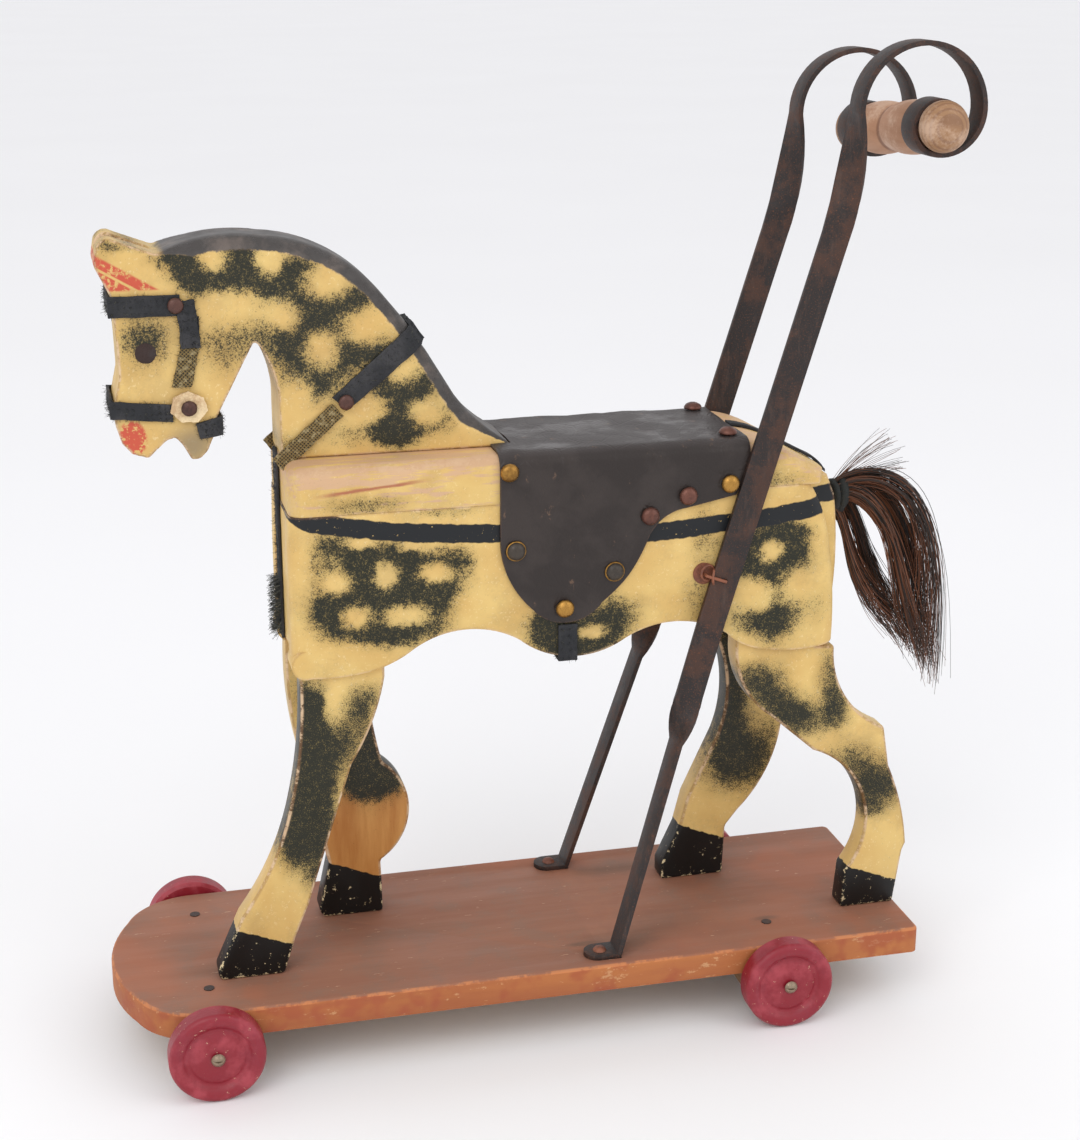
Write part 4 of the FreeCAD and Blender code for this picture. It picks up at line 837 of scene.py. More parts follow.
def rusty_iron(name, iron, rust, metallic=0.35):
    def recipe(g, place):
        spread = g.group("Rust", Place=place)
        streak = g.noise(g.stretched(place, (1, 1, 0.2)), 160, 4, 0.7)
        colour = g.tint(iron, spread["Mask"], 0.8, rust)
        colour = g.tint(colour, g.ramp(streak, 0.5, 0.72), 0.5, tone(84, 66, 58))
        colour = g.tint(colour, spread["Pits"], 0.5, tone(138, 84, 54))
        rough = g.ramp(spread["Height"], 0.3, 0.7, 0.42, 0.7)
        return surface(g, colour, rough, spread["Height"], 0.0005, 0.7)

    return new_material(name, recipe, Metallic=metallic)


def nail_metal(name, bright, dull, metallic=0.9):
    """Metal for a domed nail head: bright, dulled in blotches and pits."""

    def recipe(g, place):
        grime = g.group("Grime", Place=place)
        pits = g.noise(place, 1400, 3, 0.7)
        shade = g.math("MAXIMUM", grime["Mask"], g.ramp(pits, 0.55, 0.7))
        rough = g.ramp(pits, 0.3, 0.7, 0.26, 0.5)
        return surface(g, g.tint(bright, shade, 0.7, dull), rough, pits, 0.0002, 0.5)

    return new_material(name, recipe, Metallic=metallic)


def saddle_leather(finish):
    """Waxed leather with rubbed grey patches, brown scuffs, and a painted grey sheen on its upward faces.
    """

    def recipe(g, place):
        hide = g.group("Hide", Place=place)
        colour = g.tint(finish.leather, hide["Rub"], 0.55, tone(58, 49, 45))
        normal = g.split(g.node("NewGeometry", {}).outputs["Normal"])
        # Painted sheen: faces that point up are tinted light grey, standing in for light on the top of the
        # saddle.
        colour = g.tint(colour, g.ramp(normal[2], 0.5, 0.95), 0.5, tone(72, 66, 65))
        scuffs = g.ramp(g.noise(g.stretched(place, (1, 1, 0.5)), 95, 5, 0.75), 0.62, 0.7)
        colour = g.tint(colour, scuffs, 0.6, tone(120, 92, 72))
        wear = g.group("Edge Wear", Place=place, Radius=0.0012, Amount=0.08, Rounded=0.0)
        cut = g.math("MULTIPLY", wear["Mask"], g.ramp(normal[2], 0.6, 0.2))
        colour = g.tint(colour, cut, 0.3, tone(150, 104, 74))
        rough = g.ramp(hide["Rub"], 0.0, 1.0, 0.5, 0.34)
        return surface(g, colour, rough, hide["Height"], 0.0009, 0.55)

    return new_material("saddle_leather", recipe, Specular_IOR_Level=0.4)


def strap_leather(name, colour_value, fray):
    """Thin strap leather or cloth with a soft, lint-covered surface."""

    def recipe(g, place):
        hide = g.group("Hide", Place=place)
        lint = g.ramp(g.noise(place, 900, 4, 0.75), 0.56, 0.68)
        colour = g.tint(colour_value, hide["Rub"], 0.4, tone(66, 64, 66))
        colour = g.tint(colour, lint, 0.35, fray)
        rough = g.ramp(hide["Rub"], 0.0, 1.0, 0.8, 0.62)
        return surface(g, colour, rough, g.math("ADD", hide["Height"], lint), 0.0006, 0.6)

    return new_material(name, recipe)


def cheek_strap_finish(finish):
    """Black leather above, tarnished braid below."""

    def recipe(g, place):
        braid = g.group("Braid", Place=place)
        _, _, up = g.split(place)[:]
        thread = g.mix(braid["Gap"], finish.braid, tone(52, 44, 30))
        thread = g.mix(g.ramp(g.noise(place, 300, 3), 0.5, 0.65), thread, tone(164, 146, 104))
        share = g.ramp(g.math("MULTIPLY_ADD", g.noise(place, 300, 2), 0.004, up), 0.4855, 0.4875)
        rough = g.ramp(share, 0.0, 1.0, 0.55, 0.8)
        return surface(g, g.mix(share, thread, finish.black), rough, braid["Height"], 0.0007, 0.8)

    return new_material("cheek_strap_finish", recipe)


def rosette_leather():
    def recipe(g, place):
        grime = g.group("Grime", Place=place)
        fibres = g.noise(place, 700, 4, 0.7)
        colour = g.tint(tone(232, 208, 166), grime["Mask"], 0.7, tone(176, 136, 96))
        colour = g.mix(g.ramp(fibres, 0.6, 0.72), colour, tone(142, 98, 66))
        rough = g.ramp(fibres, 0.3, 0.7, 0.7, 0.9)
        return surface(g, colour, rough, fibres, 0.0006, 0.7)

    return new_material("rosette_leather", recipe)


def hair(name, dark, light, share):
    """Strands of two colours, told apart by a value kept on each strand."""

    def recipe(g, place):
        strand = g.node("Attribute", {}, attribute_name="strand", attribute_type="GEOMETRY").outputs["Fac"]
        along = g.noise(place, 30, 2)
        level = g.math("ADD", strand, g.math("MULTIPLY_ADD", along, 0.5, -0.25))
        colour = g.mix(g.ramp(level, share, share + 0.25), dark, light)
        return {"Base Color": colour, "Roughness": g.ramp(along, 0.3, 0.7, 0.4, 0.6)}

    return new_material(name, recipe)


def floor_finish(stage):
    def recipe(g, place):
        cloud = g.noise(place, 1.5, 2)
        return {"Base Color": g.tint(stage.floor, cloud, 0.3, tone(236, 235, 236))}

    return new_material("floor_finish", recipe, Roughness=0.9)


# ---------------------------------------------------------------- operators


class HORSE_OT_platform(bpy.types.Operator):
    """Build the board with its axle blocks and nails"""

    bl_idname = "horse.platform"
    bl_label = "Platform"

    def execute(self, context):
        paint = context.scene.horse_platform
        board = copy_of("platform_board", "base_board")
        round_edges(board, paint.edge)
        set_piece(board, "toy", "board_paint", board_paint(paint), replaces=["base_board"])
        block_wood = plain_wood("block_wood", tone(178, 146, 108), tone(138, 106, 76), (1, 0.15, 1))
        for end in ("front", "rear"):
            block = copy_of(f"axle_batten_{end}", f"axle_block_{end}")
            round_edges(block, paint.edge)
            set_piece(block, "toy", "bare_wood", block_wood, replaces=[f"axle_block_{end}"])
        dress_node("block_nails", bpy.data.materials["dark_iron"])
        return {"FINISHED"}


class HORSE_OT_wheels(bpy.types.Operator):
    """Build the four turned wheels with their screws and washers"""

    bl_idname = "horse.wheels"
    bl_label = "Wheels"

    def execute(self, context):
        red = wheel_paint(context.scene.horse_platform)
        for place in ("front_left", "front_right", "rear_left", "rear_right"):
            node = "wheel_" + place
            wheel = copy_of("turned_" + node, node, flat=0.3)
            set_piece(wheel, node, "wheel_paint", red, replaces=[node], smooth=40)
        screws = copy_of("axle_screws", "wheel_screws", flat=0.3)
        round_edges(screws, 0.0002, 1)
        set_piece(screws, "toy", "screw_steel", bpy.data.materials["worn_steel"], replaces=["wheel_screws"])
        dress_node("wheel_washers", bpy.data.materials["worn_steel"])
        return {"FINISHED"}


class HORSE_OT_body(bpy.types.Operator):
    """Build the side boards, the core, the slab on the back and the four legs"""

    bl_idname = "horse.body"
    bl_label = "Body and legs"

    def execute(self, context):
        paint = context.scene.horse_paint
        sides = body_paint(paint)
        for side in ("left", "right"):
            node = "body_side_" + side
            board = copy_of("flank_" + side, node)
            round_edges(board, paint.edge)
            set_piece(board, "toy", "horse_paint", sides, replaces=[node])
        core = copy_of("chest_core", "body_core")
        round_edges(core, paint.edge)
        set_piece(core, "toy", "bare_wood", sides, replaces=["body_core"])
        slab = copy_of("back_slab", "back_board")
        round_edges(slab, paint.edge)
        set_piece(slab, "toy", "horse_paint", back_paint(paint), replaces=["back_board"])
        for leg in LEG_DARK:
            piece = copy_of("painted_" + leg, leg)
            round_edges(piece, paint.edge * 1.3, 3)
            set_piece(piece, "toy", "horse_paint", leg_paint(paint, leg), replaces=[leg])
        return {"FINISHED"}


BEHIND_EARS = -0.25
EAR_TAPER = 0.02
ABOVE_WITHERS = 0.0025
CREST_STEP = 0.0005


def crest_line(head, radius):
    """Close points along the crest, each with its way out and how far the edge is rounded there."""
    mesh = head.data
    half = max(vertex.co.y for vertex in mesh.vertices)
    foot = min(vertex.co.z for vertex in mesh.vertices if vertex.co.x > -0.05)
    line = []
    for face in mesh.polygons:
        middle, way = face.center, face.normal
        on_crest = abs(way.y) < 0.5 and way.x + way.z > 0.14 and middle.x > BEHIND_EARS
        whole = all(abs(abs(mesh.vertices[i].co.y) - half) < 1e-4 for i in face.vertices)
        if not (on_crest and whole) or (middle.z < 0.5 and middle.x < -0.17):
            continue
        ends = sorted((mesh.vertices[i].co.x, 0, mesh.vertices[i].co.z) for i in face.vertices)
        first, last = Vector(ends[0]), Vector(ends[-1])
        count = max(1, math.ceil((last - first).length / CREST_STEP))
        for i in range(count):
            spot = first.lerp(last, (i + 0.5) / count)
            above = spot.z - foot - ABOVE_WITHERS
            room = min(1.0, (spot.x - BEHIND_EARS) / EAR_TAPER, above * 0.5 / radius)
            line.append((spot, way.copy(), max(0.0, room) * radius))
    return line


def round_crest(piece, line, half, lift=0.0):
    """Draw a piece in towards its middle near the crest, so that the crest's edges are round."""
    tree = KDTree(len(line))
    for i, (spot, _, _) in enumerate(line):
        tree.insert(spot, i)
    tree.balance()
    for vertex in piece.data.vertices:
        place = Vector((vertex.co.x, 0, vertex.co.z))
        spot, way, radius = line[tree.find(place)[1]]
        radius += lift
        depth = max(0.0, (spot - place).dot(way) + lift)
        if depth < radius:
            width = half - radius + math.sqrt(radius ** 2 - (radius - depth) ** 2)
            vertex.co.y *= width / half


class HORSE_OT_head(bpy.types.Operator):
    """Build the neck and head with its rounded crest, and the eyes"""

    bl_idname = "horse.head"
    bl_label = "Neck and head"

    def execute(self, context):
        paint = context.scene.horse_paint
        head = copy_of("carved_head", "neck_and_head")
        line = crest_line(head, paint.crest)
        half = max(vertex.co.y for vertex in head.data.vertices)
        apply_modifier(head, "REMESH", mode="VOXEL", voxel_size=0.0014)
        apply_modifier(head, "SMOOTH", factor=0.5, iterations=2)
        round_crest(head, line, half)
        set_piece(head, "toy", "horse_paint", head_paint(paint), replaces=["neck_and_head"], smooth=60)
        dress_node("neck_dowels", bpy.data.materials["peg_wood"])
        stud = strap_leather("eye_stud_finish", tone(52, 36, 32), tone(98, 62, 50))
        eyes = copy_of("eye_studs", "eyes", flat=0.1)
        ripple(eyes, 0.0009, 0.003)
        set_piece(eyes, "toy", "eye_stud", stud, replaces=["eyes"], smooth=50)
        return {"FINISHED"}


def strand_mesh(name, routes, width, material):
    """Many thin strands as one mesh, each with a value of its own for its colour."""
    curve = bpy.data.curves.new(name, "CURVE")
    curve.dimensions = "3D"
    curve.bevel_depth = width
    curve.bevel_resolution = 0
    curve.resolution_u = 3
    for route in routes:
        spline = curve.splines.new("NURBS")
        spline.points.add(len(route) - 1)
        for i, (point, place) in enumerate(zip(spline.points, route)):
            point.co = (*place, 1)
            point.radius = 1.0 if i < len(route) - 2 else 0.6
        spline.order_u = 4
        spline.use_endpoint_u = True
        spline.use_cyclic_u = False
    source = bpy.data.objects.new(name + "_curves", curve)
    bpy.context.scene.collection.objects.link(source)
    bpy.context.view_layer.update()
    evaluated = source.evaluated_get(bpy.context.evaluated_depsgraph_get())
    mesh = bpy.data.meshes.new_from_object(evaluated)
    bpy.data.objects.remove(source)
    piece = bpy.data.objects.new(name, mesh)
    bpy.context.scene.collection.objects.link(piece)
    draw = random.Random(len(routes))
    values = [draw.random() for _ in routes]
    share = len(mesh.vertices) / len(routes)
    layer = mesh.attributes.new("strand", "FLOAT", "POINT")
    layer.data.foreach_set("value", [values[int(i / share)] for i in range(len(mesh.vertices))])
    mesh.materials.clear()
    mesh.materials.append(material)
    return piece


# Locks of the tail: each is a line of X, Y, Z points (mm) that its hairs follow, from the peg out.
TAIL_LOCKS = (
    (
        (205, 0, 357), (224, 0, 367), (250, -2, 366), (276, -3, 346),
        (291, -4, 310), (299, -3, 265), (298, 0, 206),
    ),
    (
        (205, 2, 355), (222, 3, 364), (244, 5, 359), (266, 8, 335),
        (281, 9, 300), (291, 7, 255), (296, 3, 214),
    ),
    (
        (205, -2, 353), (220, -5, 360), (238, -9, 350), (254, -12, 325),
        (264, -12, 290), (276, -10, 252), (290, -6, 222),
    ),
    (
        (205, 0, 350), (217, 2, 353), (229, 4, 338), (238, 6, 312),
        (249, 6, 284), (263, 5, 258), (281, 3, 232),
    ),
    (
        (205, -2, 349), (213, -4, 347), (219, -6, 325), (226, -6, 302),
        (237, -4, 280), (250, -2, 262), (268, 0, 246),
    ),
)
TAIL_WISPS = ((205, 0, 358), (222, 0, 371), (240, 0, 380), (256, 0, 386))


class HORSE_OT_tail(bpy.types.Operator):
    """Build the tail of loose hair and the rag tied round its peg"""

    bl_idname = "horse.tail"
    bl_label = "Tail"

    def execute(self, context):
        finish = context.scene.horse_hair
        draw = random.Random(4)
        routes = []
        for lock in TAIL_LOCKS:
            for _ in range(finish.strands):
                turn, reach = draw.uniform(0, math.tau), math.sqrt(draw.random())
                length = draw.uniform(0.72, 1.0)
                bend = Vector((draw.gauss(0, 3.0), draw.gauss(0, 5.0), draw.gauss(0, 3.0)))
                route = []
                for i, place in enumerate(lock):
                    share = i / (len(lock) - 1)
                    spread = 5.5 + 9.0 * share
                    ring = Vector((0.55 * math.cos(turn), math.cos(turn), math.sin(turn))) * reach * spread
                    wave = Vector([draw.gauss(0, 0.9) for _ in range(3)]) * share
                    shorter = 1 - (1 - length) * share
                    target = Vector(lock[0]) + (Vector(place) - Vector(lock[0])) * shorter
                    route.append((target + ring + bend * share**1.5 + wave) * MM)
                routes.append(route)
        for _ in range(finish.strands // 3):
            angle = draw.uniform(-0.75, 0.35)
            route = []
            for i, place in enumerate(TAIL_WISPS):
                offset = (Vector(place) - Vector(TAIL_WISPS[0])) * draw.uniform(0.9, 1.05)
                turned = Vector((
                    offset.x * math.cos(angle) - offset.z * math.sin(angle),
                    draw.gauss(0, 3) * (i + 1) / 2,
                    offset.x * math.sin(angle) + offset.z * math.cos(angle),
                ))
                route.append((Vector(TAIL_WISPS[0]) + turned) * MM)
            routes.append(route)
        material = hair("tail_hair_finish", finish.dark, finish.chestnut, 0.5)
        tail = strand_mesh("tail_strands", routes, finish.width, material)
        set_piece(tail, "toy", "horse_hair", material, replaces=["tail_hair"], smooth=60)
        self.wrap(material)
        dress_node("tail_peg", bpy.data.materials["peg_wood"])
        return {"FINISHED"}

    def wrap(self, material):
        """A dark rag wound twice round the root of the hair."""
        low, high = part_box("tail_peg")
        middle = (low + high) / 2
        cloth = strap_leather("tail_rag_finish", tone(30, 32, 30), tone(78, 84, 62))
        for i, (along, radius) in enumerate(((5.0, 9.3), (10.0, 10.0))):
            centre = (high.x + (along - 6) * MM, middle.y, middle.z)
            ring = add_shape(
                "torus", f"tail_rag_{i + 1}", location=centre, rotation=(0, math.radians(90 + 8 * i), 0),
                major_segments=32, minor_segments=10, major_radius=radius * MM, minor_radius=3.2 * MM,
            )
            ripple(ring, 0.003, 0.008, i)
            set_piece(ring, "toy", "black_leather", cloth, smooth=60)


class HORSE_OT_saddle(bpy.types.Operator):
    """Build the leather saddle and its domed nails"""

    bl_idname = "horse.saddle"
    bl_label = "Saddle"

    def execute(self, context):
        finish = context.scene.horse_harness
        saddle = copy_of("leather_saddle", "saddle", flat=0.4)
        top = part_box("saddle")[1].z
        with editing(saddle, "FACE"):
            bpy.ops.mesh.select_all(action="DESELECT")
            bpy.ops.object.mode_set(mode="OBJECT")
            for face in saddle.data.polygons:
                side_face = abs(face.normal.y) > 0.3 and face.normal.y * face.center.y > 0
                top_face = face.normal.z > 0.7 and face.center.z > top - 0.001
                face.select = not ((side_face or top_face) and abs(face.normal.x) < 0.3)
            bpy.ops.object.mode_set(mode="EDIT")
            bpy.ops.mesh.delete(type="FACE")
        for axis in (0, 1, 2):
            slice_up(saddle, axis, 0.005)
        ripple(saddle, 0.0022, 0.03, 1)
        ripple(saddle, 0.0009, 0.009, 2)
        apply_modifier(saddle, "SOLIDIFY", thickness=finish.thickness, offset=-1, use_even_offset=True)
        round_edges(saddle, 0.0004, 2, 50)
        set_piece(
            saddle, "toy", "saddle_leather", saddle_leather(finish), replaces=["saddle"], smooth=50
        )
        self.nails(finish)
        return {"FINISHED"}

    def nails(self, finish):
        """One nail is modelled, and copied to the place of each CAD nail head."""
        bright = nail_metal("bright_brass", finish.brass, tone(96, 66, 34))
        dull = nail_metal("dull_copper", finish.copper, tone(66, 46, 42), 0.6)
        worn_top = nail_metal("dark_lacquer", tone(66, 58, 50), tone(40, 36, 34), 0.3)
        for i, (low, high) in enumerate(solids_of("saddle_nails")):
            middle = (low + high) / 2
            brass = (middle.x < -0.02 and middle.z > 0.38) or middle.z < 0.31 or middle.x > 0.11
            on_top = middle.z > 0.4
            way = Vector((0, 0, 1)) if on_top else Vector((0, math.copysign(1, middle.y), 0))
            foot = middle - way * ((high - low).dot(Vector([abs(v) for v in way])) / 2)
            width = max(high.x - low.x, 0.001)
            nail = domed_nail(f"saddle_stud_{i + 1:02d}", foot, way, width / 2 * 0.98, 0.0046, i)
            worn = 0.32 < middle.z < 0.35
            metal = worn_top if worn else bright if brass and not on_top else dull
            set_piece(nail, "toy", "brass_nails", metal, smooth=50)
            if worn:
                self.bright_rim(f"saddle_rim_{i + 1:02d}", foot + way * 0.0012, way, width / 2, bright)
        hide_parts("saddle_nails")

    def bright_rim(self, name, place, way, radius, metal):
        """The rubbed rim of a nail whose lacquer has gone dark on top."""
        rim = add_shape(
            "torus", name, location=place, rotation=way.to_track_quat("Z", "Y").to_euler(),
            major_segments=32, minor_segments=8, major_radius=radius - 0.0003, minor_radius=0.0008,
        )
        set_piece(rim, "toy", "brass_nails", metal, smooth=60)


def domed_nail(name, foot, way, radius, height, seed):
    """A nail head: a dome with a thin turned-in rim, slightly dented."""
    nail = add_shape("uv_sphere", name, segments=24, ring_count=16, radius=radius)
    with editing(nail):
        bpy.ops.mesh.bisect(plane_co=(0, 0, 0), plane_no=(0, 0, 1), use_fill=True, clear_inner=True)
        bpy.ops.mesh.select_all(action="SELECT")
        bpy.ops.transform.resize(value=(1, 1, (height - 0.0006) / radius))
        bpy.ops.mesh.select_all(action="DESELECT")
        bpy.ops.mesh.select_mode(type="FACE")
        bpy.ops.object.mode_set(mode="OBJECT")
        for face in nail.data.polygons:
            face.select = face.normal.z < -0.9
        bpy.ops.object.mode_set(mode="EDIT")
        bpy.ops.mesh.extrude_region_move(TRANSFORM_OT_translate={"value": (0, 0, -0.0006)})
        bpy.ops.transform.resize(value=(0.93, 0.93, 1))
        bpy.ops.mesh.select_all(action="SELECT")
        bpy.ops.mesh.select_mode(type="VERT")
        bpy.ops.transform.vertex_random(offset=0.00012, uniform=0.2, normal=0.8, seed=seed + 1)
    settle(nail, foot + way * 0.0004, way.to_track_quat("Z", "Y").to_euler())
    return nail


class HORSE_OT_harness(bpy.types.Operator):
    """Build the straps, the bridle, the rosettes and the tuft of fur"""

    bl_idname = "horse.harness"
    bl_label = "Harness"

    def execute(self, context):
        finish = context.scene.horse_harness
        black = strap_leather("strap_leather", finish.black, tone(84, 88, 74))
        for name, node, step in (
            ("forehead_strap", "browband", 0.004), ("nose_strap", "noseband", 0.004),
            ("jaw_strap", "chin_strap", 0.004), ("crest_strap", "neck_strap", 0.002),
            ("breast_strap", "chest_strap", 0.005), ("belly_strap", "girth_strap", 0.005),
            ("rump_strap", "crupper_strap", 0.004),
        ):
            strap = copy_of(name, node)
            for axis in (0, 1, 2):
                slice_up(strap, axis, step)
            if node == "neck_strap":
                line = crest_line(NODES["neck_and_head"], context.scene.horse_paint.crest)
                half = max(vertex.co.y for vertex in strap.data.vertices)
                round_crest(strap, line, half, 0.002)
            ripple(strap, 0.0012, 0.006)
            round_edges(strap, 0.0004, 1, 50)
            set_piece(strap, "toy", "black_leather", black, replaces=[node], smooth=50)
            if node != "crupper_strap":
                self.nap(strap, 700)
        cheek = cheek_strap_finish(finish)
        for side in ("left", "right"):
            node = "cheek_strap_" + side
            strap = copy_of("braided_" + node, node)
            for axis in (0, 2):
                slice_up(strap, axis, 0.003)
            ripple(strap, 0.0016, 0.005)
            set_piece(strap, "toy", "braid_strap", cheek, replaces=[node], smooth=50)
            self.nap(strap, 260)
            self.cheek_tab(side, black)
        self.breast_braid(cheek)
        self.rosettes()
        self.pins(finish)
        self.tuft(context.scene.horse_hair)
        return {"FINISHED"}

    def cheek_tab(self, side, material):
        """The black end of a cheek strap, folded over the forehead strap under its nail."""
        low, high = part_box("cheek_strap_" + side)
        way = -1 if side == "left" else 1
        face = low.y if way < 0 else high.y
        tab = add_shape("cube", "cheek_tab_" + side, size=1)
        with editing(tab):
            bpy.ops.transform.resize(value=(0.0115, 0.0016, 0.03))
            bpy.ops.mesh.subdivide(number_cuts=5)
        ripple(tab, 0.0022, 0.007, 5)
        round_edges(tab, 0.0005, 1, 50)
        place = (high.x - 0.0068, face + way * 0.0006, high.z - 0.0045)
        settle(tab, place, (0, math.radians(-4), 0))
        set_piece(tab, "toy", "black_leather", material, smooth=50)
        self.nap(tab, 300)

    def nap(self, strap, count):
        """Lint and frayed threads standing off a strap."""
        draw = random.Random(len(strap.name))
        mesh = strap.data
        faces = [face for face in mesh.polygons if abs(face.center.y) > 0.02 or face.normal.x < -0.5]
        chosen = draw.choices(faces, weights=[face.area for face in faces], k=count)
        routes = []
        for face in chosen:
            corners = [mesh.vertices[i].co for i in face.vertices]
            shares = [draw.random() for _ in corners]
            root = sum((c * s for c, s in zip(corners, shares)), Vector()) / sum(shares)
            lie = Vector([draw.gauss(0, 0.0010) for _ in range(3)])
            tip = root + face.normal * draw.uniform(0.0004, 0.0014) + lie
            routes.append([root, (root + tip) / 2 + face.normal * 0.0002, tip])
        material = bpy.data.materials["lint"]
        lint = strand_mesh(strap.name + "_lint", routes, 0.00012, material)
        set_piece(lint, "toy", "black_leather", material, smooth=60)

    def breast_braid(self, material):
        """The stub of a braided strap on each side of the neck, below the crest strap's nail."""
        for way, side in ((-1, "left"), (1, "right")):
            stub = add_shape("plane", "breast_braid_" + side, size=1)
            with editing(stub):
                bpy.ops.transform.resize(value=(0.052, 0.011, 1))
                bpy.ops.mesh.subdivide(number_cuts=14)
            apply_modifier(stub, "SOLIDIFY", thickness=0.0011, offset=0)
            ripple(stub, 0.0016, 0.005, 3)
            settle(stub, (-0.1612, 0.0262 * way, 0.4232), (math.radians(90), -math.radians(41), 0))
            set_piece(stub, "toy", "braid_strap", material, smooth=50)

    def rosettes(self):
        """Cream leather washers cut with six uneven sides, curling at their rims."""
        leather = rosette_leather()
        for i, (low, high) in enumerate(solids_of("rosettes")):
            middle = (low + high) / 2
            disc = add_shape(
                "circle", f"cream_rosette_{i + 1}", vertices=7, radius=(high.x - low.x) / 2,
                fill_type="TRIFAN", location=(middle.x, low.y, middle.z), rotation=(math.radians(90), 0, 0),
            )
            with editing(disc):
                bpy.ops.transform.resize(value=(1, 1, 0.86), center_override=middle)
                bpy.ops.mesh.subdivide(number_cuts=9, smoothness=0.1)
            apply_modifier(disc, "SOLIDIFY", thickness=high.y - low.y, offset=-1)
            ripple(disc, 0.0026, 0.008, i)
            ripple(disc, 0.0012, 0.002, i + 7)
            with editing(disc):
                bpy.ops.mesh.normals_make_consistent(inside=False)
            set_piece(disc, "toy", "cream_leather", leather, smooth=50)
        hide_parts("rosettes")

    def pins(self, finish):
        dull = nail_metal("rusty_copper", tone(92, 62, 54), tone(52, 38, 36), 0.5)
        for i, (low, high) in enumerate(solids_of("bridle_nails")):
            middle = (low + high) / 2
            way = Vector((0, math.copysign(1, middle.y), 0))
            foot = Vector((middle.x, high.y if middle.y < 0 else low.y, middle.z))
            pin = domed_nail(f"bridle_stud_{i + 1:02d}", foot, way, (high.x - low.x) / 2, 0.003, i + 40)
            set_piece(pin, "toy", "copper_nails", dull, smooth=50)
        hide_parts("bridle_nails")

    def tuft(self, finish):
        """Short fur standing out from the foot of the breast strap."""
        low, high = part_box("chest_tuft")
        draw = random.Random(9)
        routes = []
        for _ in range(520):
            root = Vector((high.x, draw.uniform(low.y, high.y), draw.uniform(low.z, high.z)))
            out = Vector((-draw.uniform(3, 7.5), draw.gauss(0, 2.0), draw.gauss(-2.2, 2.2))) * MM
            routes.append([root, root + out * 0.5 + Vector((0, 0, 0.0006)), root + out])
        material = hair("fur_finish", tone(40, 42, 40), tone(92, 94, 86), 0.6)
        tuft = strand_mesh("breast_tuft", routes, 0.00018, material)
        set_piece(tuft, "toy", "fur", material, replaces=["chest_tuft"], smooth=60)


class HORSE_OT_handle(bpy.types.Operator):
    """Build the iron struts, their fastenings and the turned grip"""

    bl_idname = "horse.handle"
    bl_label = "Push handle"

    def execute(self, context):
        finish = context.scene.horse_handle
        iron = rusty_iron("strut_iron", finish.iron, finish.rust)
        for side in ("left", "right"):
            node = "strut_" + side
            strut = copy_of("iron_" + node, node, flat=0.3)
            round_edges(strut, 0.0007, 2, 40)
            set_piece(strut, "toy", "iron", iron, replaces=[node], smooth=38)
        rusty = bpy.data.materials["red_rust"]
        for name, node in (
            ("foot_screws", "strut_foot_screws"), ("flank_washers", "side_washers"),
            ("tie_wires", "wire_ties"),
        ):
            piece = copy_of(name, node, flat=0.2)
            ripple(piece, 0.0005, 0.003)
            set_piece(piece, "toy", "iron", rusty, replaces=[node], smooth=45)
        self.tie_turns(rusty)
        grip = copy_of("turned_grip", "handle_grip", flat=0.3)
        set_piece(grip, "grip", "grip_wood", grip_wood(finish), replaces=["handle_grip"], smooth=40)
        return {"FINISHED"}

    def tie_turns(self, material):
        """More turns of each wire tie: a ring through the flank washer, and a second strand."""
        for name, (low, high) in zip(("left", "right"), solids_of("side_washers")):
            middle = (low + high) / 2
            way = -1 if middle.y < 0 else 1
            for i, (along, up, turn) in enumerate(((0.002, 0.001, 14), (0.0065, -0.002, 62))):
                ring = add_shape(
                    "torus", f"tie_ring_{name}_{i + 1}",
                    location=(middle.x + along, middle.y + way * 0.0028, middle.z + up),
                    rotation=(math.radians(90), math.radians(20 * i), math.radians(-way * turn)),
                    major_segments=30, minor_segments=8, major_radius=0.0052, minor_radius=0.0009,
                )
                ripple(ring, 0.0006, 0.003, i)
                set_piece(ring, "toy", "iron", material, smooth=60)


class HORSE_OT_stage(bpy.types.Operator):
    """Lay the pale floor and set the light and the camera"""

    bl_idname = "horse.stage"
    bl_label = "Stage"

    def execute(self, context):
        stage = context.scene.horse_stage
        floor = add_shape("plane", "floor", size=80)
        floor.data.materials.append(floor_finish(stage))
        world = bpy.data.worlds.new("even_daylight")
        world.use_nodes = True
        background = world.node_tree.nodes["Background"]
        background.inputs["Color"].default_value = (*tone(246, 246, 248), 1)
        background.inputs["Strength"].default_value = stage.daylight
        context.scene.world = world
        self.light("window", (-1.5, -1.9, 2.3), 2.0, stage.window)
        self.light("fill", (1.8, -1.6, 1.6), 1.6, stage.window * 0.35)
        camera = bpy.data.objects.new("camera", bpy.data.cameras.new("camera"))
        context.scene.collection.objects.link(camera)
        camera.location = stage.camera_place
        camera.rotation_euler = (math.radians(90) - stage.camera_tilt, 0, -stage.camera_turn)
        camera.data.sensor_width = 36
        camera.data.lens = stage.lens
        camera.data.clip_end = 200
        context.scene.camera = camera
        context.scene.view_settings.view_transform = "Standard"
        return {"FINISHED"}

    def light(self, name, place, size, power):
        lamp = bpy.data.lights.new(name, "AREA")
        lamp.size = size
        lamp.energy = power
        light = bpy.data.objects.new(name, lamp)
        bpy.context.scene.collection.objects.link(light)
        light.location = place
        aim = Vector((0, 0, 0.3)) - Vector(place)
        light.rotation_euler = aim.to_track_quat("-Z", "Y").to_euler()


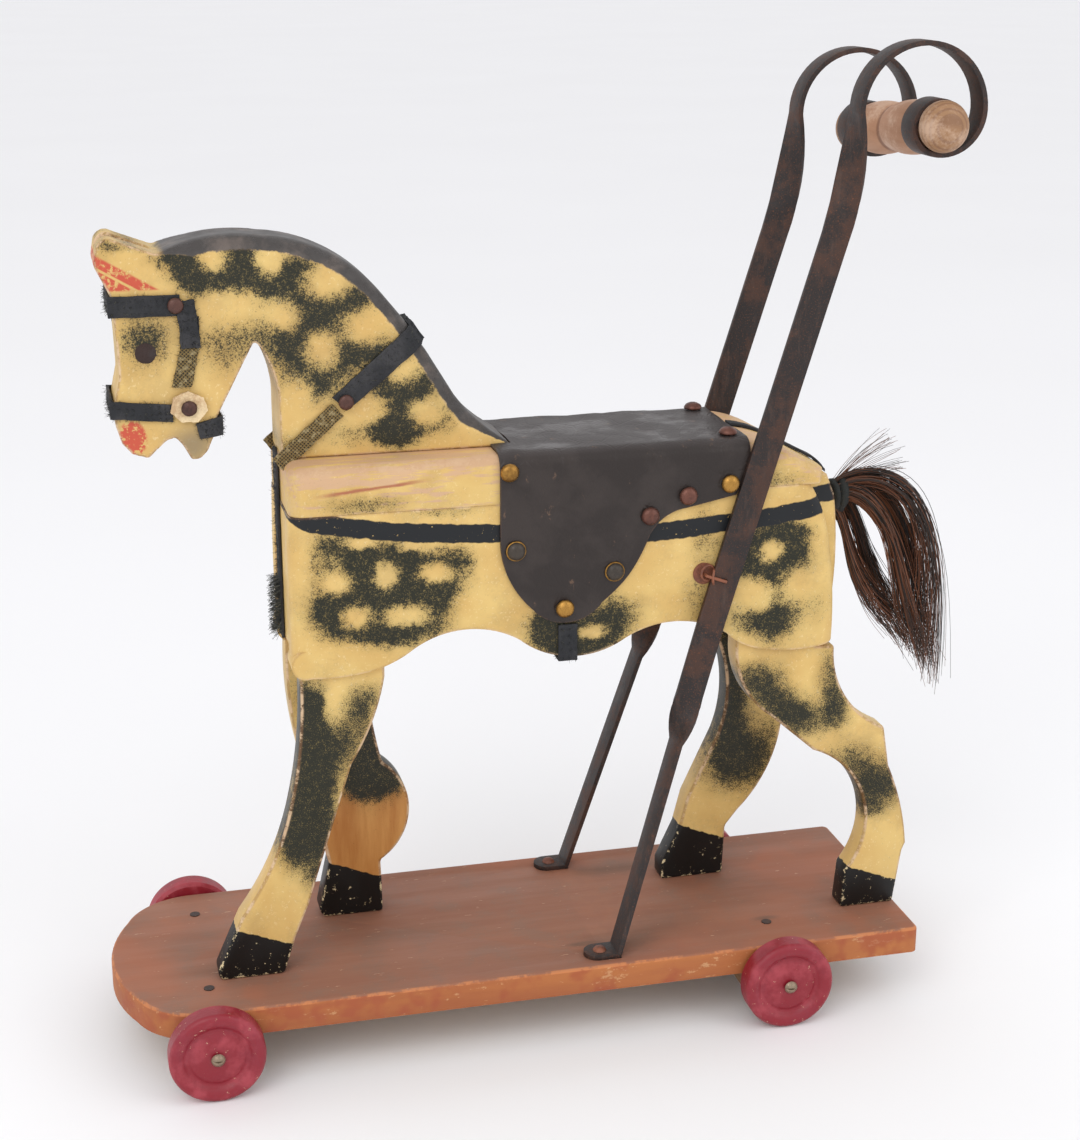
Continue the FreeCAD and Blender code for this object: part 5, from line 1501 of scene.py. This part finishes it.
class HORSE_OT_finishes(bpy.types.Operator):
    """Make the shader groups and the finishes that several pieces share"""

    bl_idname = "horse.finishes"
    bl_label = "Shared finishes"

    def execute(self, context):
        make_shader_groups()
        rusty_iron("dark_iron", tone(58, 46, 42), tone(92, 62, 50))
        rusty_iron("red_rust", tone(112, 66, 50), tone(150, 92, 66), 0.15)
        nail_metal("worn_steel", tone(150, 132, 112), tone(84, 70, 60), 0.7)
        hair("lint", tone(30, 31, 32), tone(88, 86, 70), 0.72)
        plain_wood("peg_wood", tone(196, 158, 116), tone(150, 112, 78), (0.15, 1, 1))
        return {"FINISHED"}


# ---------------------------------------------------------------- panel and registration

OPERATORS = (
    HORSE_OT_finishes, HORSE_OT_platform, HORSE_OT_wheels, HORSE_OT_body, HORSE_OT_head, HORSE_OT_tail,
    HORSE_OT_saddle, HORSE_OT_harness, HORSE_OT_handle, HORSE_OT_stage,
)
SETTINGS = {
    "horse_paint": HorsePaint,
    "horse_platform": PlatformPaint,
    "horse_harness": HarnessFinish,
    "horse_handle": HandleFinish,
    "horse_hair": HairFinish,
    "horse_stage": StageSettings,
}


class HORSE_PT_panel(bpy.types.Panel):
    """The horse's pieces and settings"""

    bl_idname = "HORSE_PT_panel"
    bl_label = "Push-along Horse"
    bl_space_type = "VIEW_3D"
    bl_region_type = "UI"
    bl_category = "Horse"

    def draw(self, context):
        for name, group in SETTINGS.items():
            box = self.layout.box()
            for prop in group.__annotations__:
                box.prop(getattr(context.scene, name), prop)
        for operator in OPERATORS:
            self.layout.operator(operator.bl_idname)


def register():
    for name, group in SETTINGS.items():
        bpy.utils.register_class(group)
        setattr(bpy.types.Scene, name, PointerProperty(type=group))
    for operator in OPERATORS:
        bpy.utils.register_class(operator)
    bpy.utils.register_class(HORSE_PT_panel)


def unregister():
    bpy.utils.unregister_class(HORSE_PT_panel)
    for operator in reversed(OPERATORS):
        bpy.utils.unregister_class(operator)
    for name, group in SETTINGS.items():
        delattr(bpy.types.Scene, name)
        bpy.utils.unregister_class(group)


def main():
    register()
    for operator in OPERATORS:
        category, action = operator.bl_idname.split(".")
        getattr(getattr(bpy.ops, category), action)()
    bpy.context.view_layer.update()


if __name__ == "__main__":
    main()
